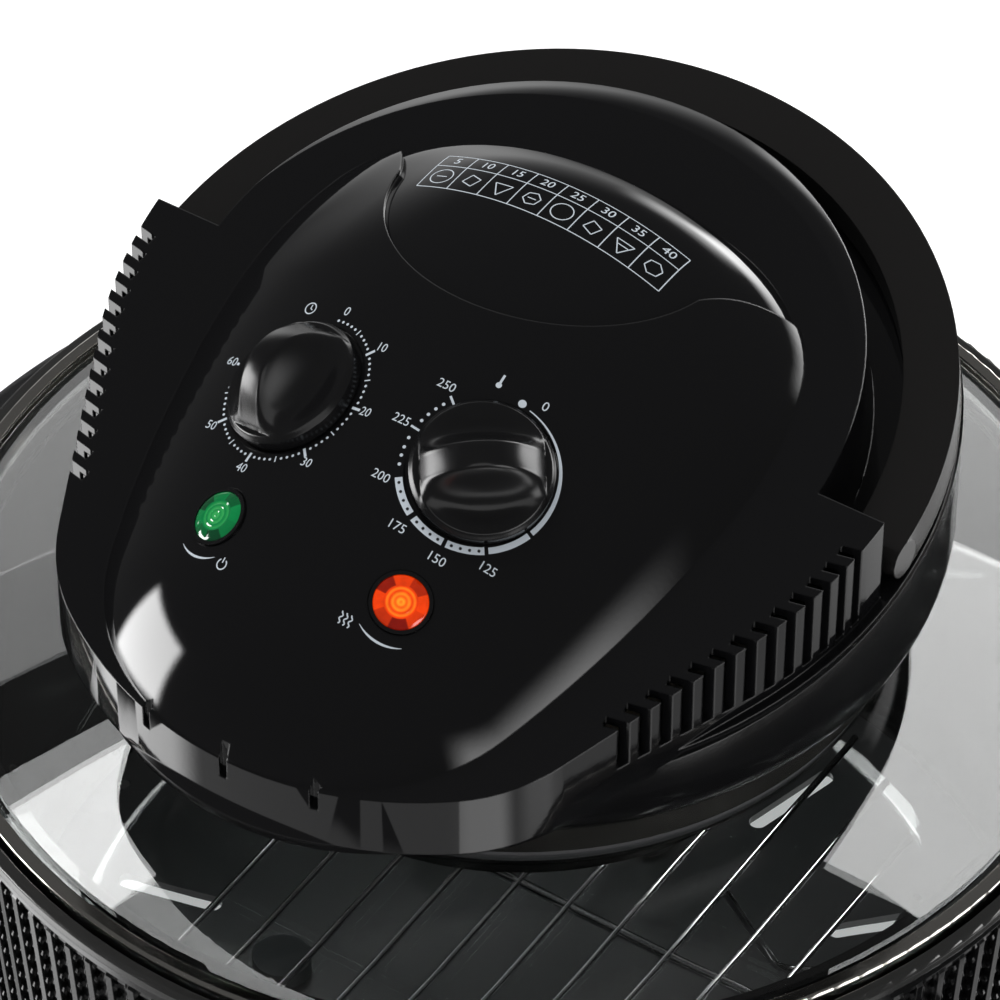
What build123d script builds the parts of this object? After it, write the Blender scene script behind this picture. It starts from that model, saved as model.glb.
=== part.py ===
from build123d import *
import math
import os

# Hinged-lid halogen oven: a glass bowl in a ribbed tub, a glass lid on a rear hinge, and a control
# head on the lid with two dials, two lamps, a folding carry handle, the halogen ring and its fan.
# Millimetres, +Z up, front at -Y.  Heights called "above the rim" count from the top of the base's
# trim ring, and plan positions count from the bowl's upright axis.

os.makedirs("parts", exist_ok=True)

# ---------------------------------------------------------------- driving dimensions: the base
rim_height = 178.0          # table to the top of the trim ring
foot_height = 10.0
foot_radius = 10.0
foot_circle = 148.0
foot_stud_radius = 3.0
tub_top_radius = 171.4      # outside of the tub's wall under the trim ring
tub_foot_radius = 160.0
tub_wall = 2.6
tub_lip_height = 3.0        # outward lip that carries the trim ring
tub_lip_radius = 173.4
tub_flange_width = 20.0     # inward flange at the tub's foot
tub_flange_thickness = 3.0
floor_thickness = 3.0
vent_count = 12
vent_length = 34.0
vent_width = 6.0
vent_circle = 96.0
ring_inner = 170.8
ring_outer = 174.4
ring_height = 4.6
ledge_inner = 161.0         # inward ledge that the bowl hangs on
ledge_thickness = 2.7
gasket_thickness = 0.8
rib_count = 138
rib_width = 2.2
rib_depth = 2.2
rib_top_gap = 0.3
hoop_height = 3.0           # hoops that tie the ribs together at both ends
bowl_outer = 160.0          # outside of the bowl's wall at the top
bowl_draft = 2.0            # taken off that radius where the bottom rounding starts
bowl_glass = 4.0
bowl_flange_radius = 168.2
bowl_flange_height = 6.0
bowl_bottom_round = 35.0
pad_height = 6.0
pad_radius = 9.0
pad_circle = 90.0
pad_count = 3
grip_inner = 191.0          # side handles, radii about the bowl's axis
grip_outer = 203.0
grip_height = 18.0
grip_half_angle = 17.0
grip_post_angle = 4.5
grip_level = -42.0          # above the rim, so below it
screw_radius = 2.0
screw_head_radius = 3.6
screw_head_height = 2.4
screw_clearance = 0.1
floor_screw_circle = 149.0

# ---------------------------------------------------------------- driving dimensions: the rack
rack_level = 62.0           # table to the middle of the rack's wires
rack_ring_radius = 118.0
rack_ring_wire = 1.6        # wire radii
rack_bar_wire = 1.1
rack_leg_wire = 1.4
rack_bar_pitch = 17.5
rack_bar_count = 11
rack_leg_circle = 104.0

# ---------------------------------------------------------------- driving dimensions: the lid
band_outer = 169.4
band_inner = 165.5
band_top = 3.0
band_lip = 1.2
glass_edge_radius = 168.0
glass_edge_flat = 162.0     # the glass is level outside this radius and domed inside it
glass_thickness = 4.0
glass_edge_top = 1.7
glass_dome_radius = 760.0
glass_hole = 100.0
seat_gap = 0.3              # between the lid's band and the bowl's flange
gasket_play = 0.05
collar_radius = 108.6
collar_sheet = 1.2
collar_bottom = 13.9
collar_top = 24.2
clamp_circle = 96.0
clamp_flange_inner = 91.5
reflector_top = 6.4
reflector_sheet = 1.2
reflector_radius = 106.0
insulation_radius = 89.0
insulation_thickness = 6.0
guard_radius = 88.0
guard_sheet = 1.4
guard_depth = 23.0          # below the reflector
guard_spokes = 8
guard_rings = (24.0, 46.0, 67.0)
tube_ring_radius = 62.0
tube_radius = 5.0
tube_drop = 12.0            # reflector to the middle of the tube
tube_gap_angle = 24.0

# ---------------------------------------------------------------- driving dimensions: the hinge
hinge_offset = 184.0        # bowl axis to hinge pin
hinge_rise = 6.0            # pin above the rim
knuckle_radius = 5.5
pin_radius = 2.0
pin_clearance = 0.05
leaf_half_width = 14.0
leaf_knuckle_half = 7.5
leaf_thickness = 2.0
ear_gap = 0.4
ear_width = 6.0
bracket_drop = 62.0
bracket_sheet = 4.0

# ---------------------------------------------------------------- driving dimensions: the head
cover_wall = 2.6
deck_tilt = 15.8            # the two slotted wings and the deck between them
deck_height = 101.5         # deck above the rim at the bowl's axis
parting_tilt = 11.3         # plane where the upper cover meets the lower skirt
parting_height = 70.6
flange_radius = 121.3
wing_radius = 118.5
wing_back = -5.3
wing_corner_round = 3.0
side_line_angle = 25.5      # the wings' sides run in towards the chin at this angle
side_line_start = -51.0
chin_radius = 119.0
chin_centre = -24.0
chin_flare = 4.5            # the chin's foot stands this much further out than its top
chin_corner_round = 50.0
chin_corner_chord = (58.0, -126.0)
drum_radius = 97.9          # round back of the deck, inside the folded handle
drum_centre = -7.3
drum_tilt = 12.2
drum_height = 100.6         # its crest above the rim at its centre
shoulder_rise = 5.5
shoulder_width = 19.0
bulge_tilt = 12.2           # axis of the revolved control bulge
bulge_axis_height = 40.6
bulge_apex = (13.05, 143.5)
bulge_back_radius = 48.0
bulge_back_angle = 68.0
bulge_top_radius = 142.2
bulge_top_angle = 18.15
bulge_panel_radius = 445.0
bulge_panel_angle = 29.4
bulge_nose_radius = 67.0
bulge_nose_angle = 74.0
lens_step = 1.6             # the chart field behind the crease lies this much lower
crease_radius = 49.0
crease_centre = 21.0
crease_flare = (54.0, 22.0)
lens_tip = (65.3, 34.5)
slot_count = 13
slot_pitch = 5.9
slot_width = 2.9
slot_depth = 5.2
slot_first = -17.5
slot_foot_height = 73.3
slot_foot_slope = 0.13
slot_sweep = 10.0           # degrees that a slot's mouth leans to the back
notch_spacing = 27.0
notch_width = 2.4
notch_depth = 2.0
notch_height = 6.5
skirt_foot_radius = 110.0
skirt_full_height = 46.0    # the skirt reaches its full radius at this height above the rim
screw_post_radius = 4.5
front_screw_place = (60.0, -75.7)
back_screw_place = (90.0, 20.0)
cover_screw_bite = 10.0
gland_height = 45.0
gland_radius = 7.0
gland_bore = 3.7
gland_collar = 9.5

# ---------------------------------------------------------------- driving dimensions: the controls
dial_place = (30.0, -64.6)
lamp_place = (29.2, -101.5)
knob_radius = 20.0
knob_height = 21.5          # foot to the crown of the dome
knob_side = 5.2             # height of its straight side
knob_shoulder = (19.0, 7.7) # where the rounded edge runs into the dome: radius, height over foot
knob_gap = 0.5
grip_bar_width = 6.5
scoop_floor = (8.2, 11.4)   # finger scoops: distance from the bar's middle, height over foot
scoop_end = (17.2, 11.2)
knob_well_radius = 20.4
knob_well_depth = 2.0
dial_boss_radius = 22.0
dial_boss_depth = 5.5
shaft_radius = 3.0
running_fit = 0.05
free_fit = 0.3
timer_radius = 18.0
timer_depth = 24.0
thermostat_width = 30.0
thermostat_length = 34.0
thermostat_depth = 19.0
lens_radius = 7.4
lens_height = 2.2
lens_stem_radius = 5.2
bezel_width = 1.1
bezel_height = 1.0
bezel_rise = 0.4
neon_radius = 3.2
neon_length = 18.0
press_play = 0.02
grip_turn = (8.5, 237.0)    # clockwise from straight up the panel, for the timer and thermostat

# ---------------------------------------------------------------- driving dimensions: handle, fan
handle_outer = 120.7
handle_inner = 105.4
handle_centre = -1.3
handle_height = 85.7        # top face above the rim at its centre
handle_thickness = 11.5
handle_tilt = 12.2
handle_pivot = 3.5          # pivot behind the handle's centre
pivot_pin_radius = 3.0
pivot_boss_radius = 6.5
pivot_gap = 0.5
pin_end = 117.0
plunger_place = (103.0, 36.0)
plunger_radius = 2.4
plunger_lift = 1.2          # how far the pressed plunger stands out of the flange
switch_size = (10.0, 14.0, 12.0)
fan_shaft_radius = 2.5
fan_shaft_top = 66.0
motor_radius = 27.0
motor_height = 32.0
bracket_bar_width = 20.0
bracket_bar_sheet = 1.5
cooling_fan_radius = 58.0
convection_fan_radius = 42.0
blade_height = 8.0
blade_thickness = 1.2
hub_radius = 8.0
blade_count = 8
bracket_screw_radius = 1.5
bracket_screw_spot = 94.2
terminal_size = (18.0, 22.0, 14.0)
terminal_start = 55.0
lead_radius = 1.6
lead_rise = 35.0

# ---------------------------------------------------------------- frame of reference
hinge_reach = hinge_offset + knuckle_radius
bowl_y = (ring_outer - hinge_reach) / 2     # puts the origin in the middle of the footprint
bowl_axis = Axis((0, bowl_y, 0), (0, 0, 1))
radial = Plane(origin=(0, bowl_y, rim_height), x_dir=(1, 0, 0), z_dir=(0, -1, 0))
side = Plane(origin=(0, bowl_y, rim_height), x_dir=(0, 1, 0), z_dir=(1, 0, 0))


def level(height):
    """Level plane at a height above the rim, with the bowl's axis at its origin."""
    return Plane(origin=(0, bowl_y, rim_height + height))


def tilted(y, height, angle):
    """Plane that leans to the front by an angle, through a point on the middle plane."""
    lean = math.radians(angle)
    return Plane(origin=(0, bowl_y + y, rim_height + height), x_dir=(1, 0, 0),
                 z_dir=(0, -math.sin(lean), math.cos(lean)))


def radial_at(angle):
    """Upright plane through the bowl's axis, turned from +X by an angle."""
    turn = math.radians(angle)
    return Plane(origin=(0, bowl_y, rim_height), x_dir=(math.cos(turn), math.sin(turn), 0),
                 z_dir=(math.sin(turn), -math.cos(turn), 0))


def ring(inner, outer, foot, top):
    """Plain round ring about the bowl's axis, its heights above the rim."""
    with BuildPart() as made:
        with BuildSketch(level(foot)):
            Circle(outer)
            if inner > 0:
                Circle(inner, mode=Mode.SUBTRACT)
        extrude(amount=top - foot)
    return made.part


def save(name, part):
    """Label a finished piece and write its STEP file."""
    part.label = name
    export_step(part, f"parts/{name}.step")


floor_level = foot_height - rim_height                     # underside of the tub, above the rim
plate_level = floor_level + tub_flange_thickness
bowl_foot = plate_level + floor_thickness + pad_height
flange_top = -(band_lip + glass_thickness - glass_edge_top + seat_gap + 0.1)
flange_foot = flange_top - bowl_flange_height
ledge_top = flange_foot - gasket_thickness
tub_top = -ring_height


def tub_radius(height):
    """Outside radius of the tub's sloping wall at a height above the rim."""
    share = (height - floor_level) / (tub_top - floor_level)
    return tub_foot_radius + share * (tub_top_radius - tub_foot_radius)


# ---------------------------------------------------------------- the tub and what stands in it
with BuildPart() as base_shell:
    with BuildSketch(radial):
        with BuildLine():
            Polyline(
                (tub_foot_radius, floor_level),
                (tub_radius(tub_top - tub_lip_height), tub_top - tub_lip_height),
                (tub_lip_radius, tub_top - tub_lip_height),
                (tub_lip_radius, tub_top),
                (tub_top_radius - tub_wall, tub_top),
                (tub_top_radius - tub_wall, ledge_top),
                (ledge_inner, ledge_top),
                (ledge_inner, ledge_top - ledge_thickness),
                (tub_radius(ledge_top - ledge_thickness) - tub_wall, ledge_top - ledge_thickness),
                (tub_foot_radius - tub_wall, plate_level),
                (tub_foot_radius - tub_flange_width, plate_level),
                (tub_foot_radius - tub_flange_width, floor_level),
                close=True,
            )
        make_face()
    revolve(axis=bowl_axis)
    with BuildSketch(level(floor_level)):
        with PolarLocations(foot_circle, 4, start_angle=45):
            Circle(foot_stud_radius + screw_clearance)
        with PolarLocations(floor_screw_circle, 4):
            Circle(screw_radius + screw_clearance)
    extrude(amount=tub_flange_thickness, mode=Mode.SUBTRACT)
save("base_shell", base_shell.part)

with BuildPart() as base_trim_ring:
    with BuildSketch(radial):
        with Locations((ring_inner, tub_top)):
            Rectangle(ring_outer - ring_inner, ring_height, align=(Align.MIN, Align.MIN))
    revolve(axis=bowl_axis)
    fillet(base_trim_ring.edges().filter_by(GeomType.CIRCLE).sort_by(SortBy.RADIUS)[-2:], 1.3)
save("base_trim_ring", base_trim_ring.part)


save("bowl_seat_gasket", ring(ledge_inner + 1, bowl_flange_radius, ledge_top, flange_foot))

# side handles: a rounded grip on two posts that pass through the sleeve
grip_top = grip_level + grip_height / 2
grip_foot = grip_level - grip_height / 2
post_starts = (-grip_half_angle, grip_half_angle - grip_post_angle)
for handle, facing in (("side_handle_right", 0), ("side_handle_left", 180)):
    with BuildPart() as side_handle:
        with BuildSketch(radial_at(facing - grip_half_angle)):
            with Locations((grip_inner, grip_foot)):
                Rectangle(grip_outer - grip_inner, grip_height, align=(Align.MIN, Align.MIN))
        revolve(axis=bowl_axis, revolution_arc=2 * grip_half_angle)
        fillet(side_handle.edges(), 3.5)
        for start in post_starts:
            with BuildSketch(radial_at(facing + start)):
                with BuildLine():
                    Polyline(
                        (tub_radius(grip_foot + 2), grip_foot + 2),
                        (grip_inner + 2, grip_foot + 2),
                        (grip_inner + 2, grip_top - 2),
                        (tub_radius(grip_top - 2), grip_top - 2),
                        close=True,
                    )
                make_face()
            revolve(axis=bowl_axis, revolution_arc=grip_post_angle)
    save(handle, side_handle.part)

# hinge bracket: a cast foot on the tub's wall, a plate behind the trim ring and two ears
bracket_face = ring_outer + 0.4
with BuildPart() as tub_outline:
    with BuildSketch(radial):
        with BuildLine():
            Polyline(
                (0, floor_level),
                (tub_foot_radius, floor_level),
                (tub_radius(tub_top - tub_lip_height), tub_top - tub_lip_height),
                (tub_lip_radius, tub_top - tub_lip_height),
                (tub_lip_radius, tub_top),
                (0, tub_top),
                close=True,
            )
        make_face()
    revolve(axis=bowl_axis)
ear_inner = leaf_knuckle_half + ear_gap
ear_outer = ear_inner + ear_width
with BuildPart() as hinge_bracket:
    with BuildSketch(side):
        with Locations((ledge_inner, -bracket_drop)):
            Rectangle(bracket_face + bracket_sheet - ledge_inner, bracket_drop - 14,
                      align=(Align.MIN, Align.MIN))
        with Locations((bracket_face, -bracket_drop)):
            Rectangle(bracket_sheet, bracket_drop - 3, align=(Align.MIN, Align.MIN))
    extrude(amount=ear_outer, both=True)
    fillet(hinge_bracket.edges().filter_by(Axis.Z).sort_by(Axis.Y)[-2:], 2.5)
    add(tub_outline.part, mode=Mode.SUBTRACT)
    with BuildSketch(side.offset(ear_inner)) as ear:
        with BuildLine():
            Polyline(
                (bracket_face, -14),
                (bracket_face + bracket_sheet, -14),
                (hinge_offset + knuckle_radius * 0.9, hinge_rise - knuckle_radius * 0.45),
                (hinge_offset, hinge_rise),
                (hinge_offset - knuckle_radius * 0.98, hinge_rise - knuckle_radius * 0.2),
                close=True,
            )
        make_face()
        with Locations((hinge_offset, hinge_rise)):
            Circle(knuckle_radius)
    extrude(amount=ear_width)
    mirror(about=Plane.YZ)
    with BuildSketch(side):
        with Locations((hinge_offset, hinge_rise)):
            Circle(pin_radius + pin_clearance)
    extrude(amount=ear_outer + 1, both=True, mode=Mode.SUBTRACT)
save("hinge_bracket", hinge_bracket.part)

with BuildPart() as hinge_pin:
    with BuildSketch(side):
        with Locations((hinge_offset, hinge_rise)):
            Circle(pin_radius)
    extrude(amount=ear_outer, both=True)
    for face in (ear_outer, -ear_outer - 1.2):
        with BuildSketch(side.offset(face)):
            with Locations((hinge_offset, hinge_rise)):
                Circle(pin_radius + 1)
        extrude(amount=1.2)
save("hinge_pin", hinge_pin.part)

# the ribbed sleeve: upright ribs between two hoops, with windows for the handles and the bracket
rib_top = tub_top - tub_lip_height - rib_top_gap
window_margin = 0.6
with BuildPart() as one_rib:
    with BuildSketch(Plane.XZ):
        with BuildLine():
            Polyline(
                (tub_radius(rib_top), rib_top),
                (tub_radius(rib_top) + rib_depth - 1, rib_top),
                (tub_radius(rib_top) + rib_depth, rib_top - 1.5),
                (tub_radius(floor_level) + rib_depth, floor_level),
                (tub_radius(floor_level), floor_level),
                close=True,
            )
        make_face()
    extrude(amount=rib_width / 2, both=True)
with BuildPart() as lattice_sleeve:
    for hoop_top in (rib_top, floor_level + hoop_height):
        with BuildSketch(radial):
            with BuildLine():
                Polyline(
                    (tub_radius(hoop_top), hoop_top),
                    (tub_radius(hoop_top) + rib_depth / 2, hoop_top),
                    (tub_radius(hoop_top - hoop_height) + rib_depth / 2, hoop_top - hoop_height),
                    (tub_radius(hoop_top - hoop_height), hoop_top - hoop_height),
                    close=True,
                )
            make_face()
        revolve(axis=bowl_axis)
    turns = [360 * i / rib_count for i in range(rib_count)]
    with Locations(*[level(0).location * Location((0, 0, 0), (0, 0, turn)) for turn in turns]):
        add(one_rib.part)
    add(tub_outline.part, mode=Mode.SUBTRACT)
    for facing in (0, 180):
        for start in post_starts:
            window_turn = math.degrees(window_margin / tub_top_radius)
            with BuildSketch(radial_at(facing + start - window_turn)):
                with Locations((tub_foot_radius, grip_foot + 2 - window_margin)):
                    Rectangle(grip_inner - tub_foot_radius, grip_height - 4 + 2 * window_margin,
                              align=(Align.MIN, Align.MIN))
            revolve(axis=bowl_axis, revolution_arc=grip_post_angle + 2 * window_turn,
                    mode=Mode.SUBTRACT)
    with BuildSketch(side):
        with Locations((ledge_inner, -bracket_drop - window_margin)):
            Rectangle(hinge_offset - ledge_inner, bracket_drop, align=(Align.MIN, Align.MIN))
    extrude(amount=ear_outer + window_margin, both=True, mode=Mode.SUBTRACT)
save("lattice_sleeve", lattice_sleeve.part)

# floor plate, pads, feet and screws
with BuildPart() as base_floor:
    with BuildSketch(level(plate_level)):
        Circle(tub_foot_radius - tub_wall - 1.5)
        with PolarLocations(vent_circle + vent_length / 2, vent_count, start_angle=15):
            SlotOverall(vent_length, vent_width, mode=Mode.SUBTRACT)
        with PolarLocations(floor_screw_circle, 4):
            Circle(screw_radius + screw_clearance, mode=Mode.SUBTRACT)
    extrude(amount=floor_thickness)
save("base_floor", base_floor.part)

with BuildPart() as bowl_pads:
    with BuildSketch(level(plate_level + floor_thickness)):
        with PolarLocations(pad_circle - pad_radius * 2, pad_count, start_angle=90):
            Circle(pad_radius)
    extrude(amount=pad_height)
save("bowl_pads", bowl_pads.part)

with BuildPart() as rubber_feet:
    with BuildSketch(level(-rim_height)):
        with PolarLocations(foot_circle, 4, start_angle=45):
            Circle(foot_radius)
    extrude(amount=foot_height)
    with BuildSketch(level(floor_level)):
        with PolarLocations(foot_circle, 4, start_angle=45):
            Circle(foot_stud_radius)
    extrude(amount=tub_flange_thickness)
save("rubber_feet", rubber_feet.part)

with BuildPart() as floor_screws:
    with BuildSketch(level(floor_level - screw_head_height)):
        with PolarLocations(floor_screw_circle, 4):
            Circle(screw_head_radius)
    extrude(amount=screw_head_height)
    with BuildSketch(level(floor_level)):
        with PolarLocations(floor_screw_circle, 4):
            Circle(screw_radius)
    extrude(amount=tub_flange_thickness + floor_thickness)
save("floor_screws", floor_screws.part)

# the glass bowl: level flange, slightly drafted wall and a large round at the foot
bowl_low = bowl_foot + bowl_bottom_round
bowl_inner_foot = bowl_foot + bowl_glass
round_inner = bowl_bottom_round - bowl_glass
bowl_low_radius = bowl_outer - bowl_draft
diagonal = math.sqrt(0.5)
with BuildPart() as glass_bowl:
    with BuildSketch(radial):
        with BuildLine():
            Line((0, bowl_foot), (bowl_low_radius - bowl_bottom_round, bowl_foot))
            ThreePointArc(
                (bowl_low_radius - bowl_bottom_round, bowl_foot),
                (bowl_low_radius - bowl_bottom_round * (1 - diagonal),
                 bowl_foot + bowl_bottom_round * (1 - diagonal)),
                (bowl_low_radius, bowl_low),
            )
            Polyline(
                (bowl_low_radius, bowl_low),
                (bowl_outer, flange_foot),
                (bowl_flange_radius, flange_foot),
                (bowl_flange_radius, flange_top),
                (bowl_outer - bowl_glass, flange_top),
                (bowl_low_radius - bowl_glass, bowl_low),
            )
            ThreePointArc(
                (bowl_low_radius - bowl_glass, bowl_low),
                (bowl_low_radius - bowl_glass - round_inner * (1 - diagonal),
                 bowl_inner_foot + round_inner * (1 - diagonal)),
                (bowl_low_radius - bowl_bottom_round, bowl_inner_foot),
            )
            Polyline((bowl_low_radius - bowl_bottom_round, bowl_inner_foot),
                     (0, bowl_inner_foot), (0, bowl_foot))
        make_face()
    revolve(axis=bowl_axis)
    fillet(glass_bowl.edges().filter_by(GeomType.CIRCLE)
           .filter_by(lambda e: abs(e.radius - bowl_flange_radius) < 0.01), 1.2)
save("glass_bowl", glass_bowl.part)

# the wire rack: a ring, straight bars front to back, a cross wire and three bent legs
rack_height = rack_level - rim_height
rack_leg_end = 3 * rack_bar_pitch / math.cos(math.radians(30))
with BuildPart() as wire_rack:
    with BuildSketch(radial):
        with Locations((rack_ring_radius, rack_height)):
            Circle(rack_ring_wire)
    revolve(axis=bowl_axis)
    for number in range(rack_bar_count):
        across = (number - (rack_bar_count - 1) / 2) * rack_bar_pitch
        reach = math.sqrt(rack_ring_radius ** 2 - across ** 2)
        with BuildSketch(Plane(origin=(across, bowl_y - reach, rack_level),
                               x_dir=(1, 0, 0), z_dir=(0, 1, 0))):
            Circle(rack_bar_wire)
        extrude(amount=2 * reach)
    with BuildSketch(Plane(origin=(-rack_ring_radius, bowl_y, rack_level - rack_bar_wire),
                           x_dir=(0, 1, 0), z_dir=(1, 0, 0))):
        Circle(rack_ring_wire)
    extrude(amount=2 * rack_ring_radius)
    for leg_turn in (30, 150, 270):
        leg_plane = radial_at(leg_turn)
        with BuildLine(leg_plane) as leg_path:
            FilletPolyline(
                (rack_ring_radius, rack_height),
                (rack_leg_circle, bowl_inner_foot + rack_leg_wire),
                (rack_leg_circle - 26, bowl_inner_foot + rack_leg_wire),
                (rack_leg_end, rack_height),
                radius=8,
            )
        with BuildSketch(Plane(origin=leg_path.line @ 0, z_dir=leg_path.line % 0)):
            Circle(rack_leg_wire)
        sweep(path=leg_path.line)
save("wire_rack", wire_rack.part)

# ---------------------------------------------------------------- the lid's glass and its band
dome_centre = glass_edge_top - math.sqrt(glass_dome_radius ** 2 - glass_edge_flat ** 2)
glass_edge_foot = glass_edge_top - glass_thickness


def glass_height(radius, under=0.0):
    """Height of the domed glass above the rim at a radius, or of a surface under its top."""
    return dome_centre + math.sqrt((glass_dome_radius - under) ** 2 - radius ** 2)


glass_middle = (glass_edge_flat + glass_hole) / 2
with BuildPart() as lid_glass:
    with BuildSketch(radial):
        with BuildLine():
            ThreePointArc(
                (glass_hole, glass_height(glass_hole)),
                (glass_middle, glass_height(glass_middle)),
                (glass_edge_flat, glass_edge_top),
            )
            Polyline(
                (glass_edge_flat, glass_edge_top),
                (glass_edge_radius, glass_edge_top),
                (glass_edge_radius, glass_edge_foot),
                (glass_edge_flat, glass_edge_foot),
            )
            ThreePointArc(
                (glass_edge_flat, glass_edge_foot),
                (glass_middle, glass_height(glass_middle, glass_thickness)),
                (glass_hole, glass_height(glass_hole, glass_thickness)),
            )
            Line((glass_hole, glass_height(glass_hole, glass_thickness)),
                 (glass_hole, glass_height(glass_hole)))
        make_face()
    revolve(axis=bowl_axis)
save("lid_glass", lid_glass.part)

band_foot = glass_edge_foot - 0.1 - band_lip
with BuildPart() as lid_rim_band:
    with BuildSketch(radial):
        with Locations((band_inner, band_foot)):
            Rectangle(band_outer - band_inner, band_top - band_foot, align=(Align.MIN, Align.MIN))
        with Locations((band_inner - 1, glass_edge_foot - 0.1)):
            Rectangle(glass_edge_radius + 0.2 - band_inner + 1, glass_thickness + 0.2,
                      align=(Align.MIN, Align.MIN), mode=Mode.SUBTRACT)
    revolve(axis=bowl_axis)
    fillet(lid_rim_band.edges().filter_by(GeomType.CIRCLE)
           .filter_by(lambda e: abs(e.radius - band_outer) < 0.01), 0.9)
save("lid_rim_band", lid_rim_band.part)

with BuildPart() as hinge_leaf:
    with BuildSketch(side):
        with Locations((band_inner - 6, band_top)):
            Rectangle(hinge_offset - knuckle_radius - 2 - band_inner + 6, leaf_thickness,
                      align=(Align.MIN, Align.MIN))
    extrude(amount=leaf_half_width, both=True)
    fillet(hinge_leaf.edges().filter_by(Axis.Z), 2.5)
    with BuildSketch(side):
        with Locations((hinge_offset - knuckle_radius - 6, band_top)):
            Rectangle(knuckle_radius + 6, leaf_thickness, align=(Align.MIN, Align.MIN))
        with Locations((hinge_offset, hinge_rise)):
            Circle(knuckle_radius)
    extrude(amount=leaf_knuckle_half, both=True)
    with BuildSketch(side):
        with Locations((hinge_offset, hinge_rise)):
            Circle(pin_radius + pin_clearance)
    extrude(amount=leaf_half_width, both=True, mode=Mode.SUBTRACT)
save("hinge_leaf", hinge_leaf.part)

# ---------------------------------------------------------------- collar and heater under the head
reflector_foot = reflector_top - reflector_sheet
with BuildPart() as collar_gasket:
    with BuildSketch(radial):
        with BuildLine():
            Polyline(
                (glass_hole + 1, glass_height(glass_hole + 1) + gasket_play),
                (collar_radius - 1, glass_height(collar_radius - 1) + gasket_play),
                (collar_radius - 1, collar_bottom),
                (glass_hole + 1, collar_bottom),
                close=True,
            )
        make_face()
    revolve(axis=bowl_axis)
save("collar_gasket", collar_gasket.part)

with BuildPart() as clamp_holes:
    with BuildSketch(level(floor_level)):
        with PolarLocations(clamp_circle, 4, start_angle=45):
            Circle(screw_radius + screw_clearance)
    extrude(amount=2 * rim_height)

with BuildPart() as steel_collar:
    with BuildSketch(radial):
        with BuildLine():
            Polyline(
                (clamp_flange_inner, collar_bottom),
                (collar_radius, collar_bottom),
                (collar_radius, collar_top),
                (collar_radius - 6, collar_top),
                (collar_radius - 6, collar_top - collar_sheet),
                (collar_radius - collar_sheet, collar_top - collar_sheet),
                (collar_radius - collar_sheet, collar_bottom + collar_sheet),
                (clamp_flange_inner, collar_bottom + collar_sheet),
                close=True,
            )
        make_face()
    revolve(axis=bowl_axis)
    add(clamp_holes.part, mode=Mode.SUBTRACT)
save("steel_collar", steel_collar.part)

with BuildPart() as reflector_gasket:
    with BuildSketch(radial):
        with BuildLine():
            Polyline(
                (glass_hole + 1, reflector_top),
                (reflector_radius - 1, reflector_top),
                (reflector_radius - 1,
                 glass_height(reflector_radius - 1, glass_thickness) - gasket_play),
                (glass_hole + 1, glass_height(glass_hole + 1, glass_thickness) - gasket_play),
                close=True,
            )
        make_face()
    revolve(axis=bowl_axis)
save("reflector_gasket", reflector_gasket.part)

tube_end_turns = (90 - tube_gap_angle / 2, 90 + tube_gap_angle / 2)
tube_level = reflector_foot - tube_drop
socket_radius = tube_radius + 1.2
tube_end_spots = [
    (tube_ring_radius * math.cos(math.radians(turn)), tube_ring_radius * math.sin(math.radians(turn)))
    for turn in tube_end_turns
]
with BuildPart() as reflector:
    with BuildSketch(level(reflector_foot)):
        Circle(reflector_radius)
        Circle(fan_shaft_radius + free_fit, mode=Mode.SUBTRACT)
        with Locations(*tube_end_spots):
            Circle(2.2, mode=Mode.SUBTRACT)
    extrude(amount=reflector_sheet)
    add(clamp_holes.part, mode=Mode.SUBTRACT)
save("reflector", reflector.part)

with BuildPart() as insulation_disc:
    with BuildSketch(level(reflector_top)):
        Circle(insulation_radius)
        Circle(fan_shaft_radius + 1, mode=Mode.SUBTRACT)
        with Locations(*tube_end_spots):
            Circle(2.2, mode=Mode.SUBTRACT)
    extrude(amount=insulation_thickness)
save("insulation_disc", insulation_disc.part)

# halogen ring: a quartz tube bent nearly full circle, held in two ceramic sockets
with BuildPart() as halogen_tube:
    with BuildSketch(radial_at(tube_end_turns[1])):
        with Locations((tube_ring_radius, tube_level)):
            Circle(tube_radius)
    revolve(axis=bowl_axis, revolution_arc=360 - tube_gap_angle)
save("halogen_tube", halogen_tube.part)

with BuildPart() as tube_sockets:
    for turn, away in ((tube_end_turns[0], 1), (tube_end_turns[1], -1)):
        seat = radial_at(turn)
        with BuildSketch(seat):
            with BuildLine():
                Polyline(
                    (tube_ring_radius - socket_radius, tube_level - socket_radius),
                    (tube_ring_radius + socket_radius, tube_level - socket_radius),
                    (tube_ring_radius + socket_radius, reflector_foot),
                    (tube_ring_radius - socket_radius, reflector_foot),
                    close=True,
                )
            make_face()
        extrude(amount=-7 * away)
save("tube_sockets", tube_sockets.part)

clip_half = 4.0
clip_sheet = 1.2
with BuildPart() as tube_clips:
    for turn in (210, 330):
        with BuildSketch(radial_at(turn)):
            with Locations((tube_ring_radius, tube_level)):
                Circle(tube_radius + clip_sheet)
            with Locations((tube_ring_radius, (tube_level + reflector_foot) / 2)):
                Rectangle(clip_sheet * 2, reflector_foot - tube_level)
            with Locations((tube_ring_radius, tube_level)):
                Circle(tube_radius + free_fit, mode=Mode.SUBTRACT)
        extrude(amount=clip_half, both=True)
save("tube_clips", tube_clips.part)

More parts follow.
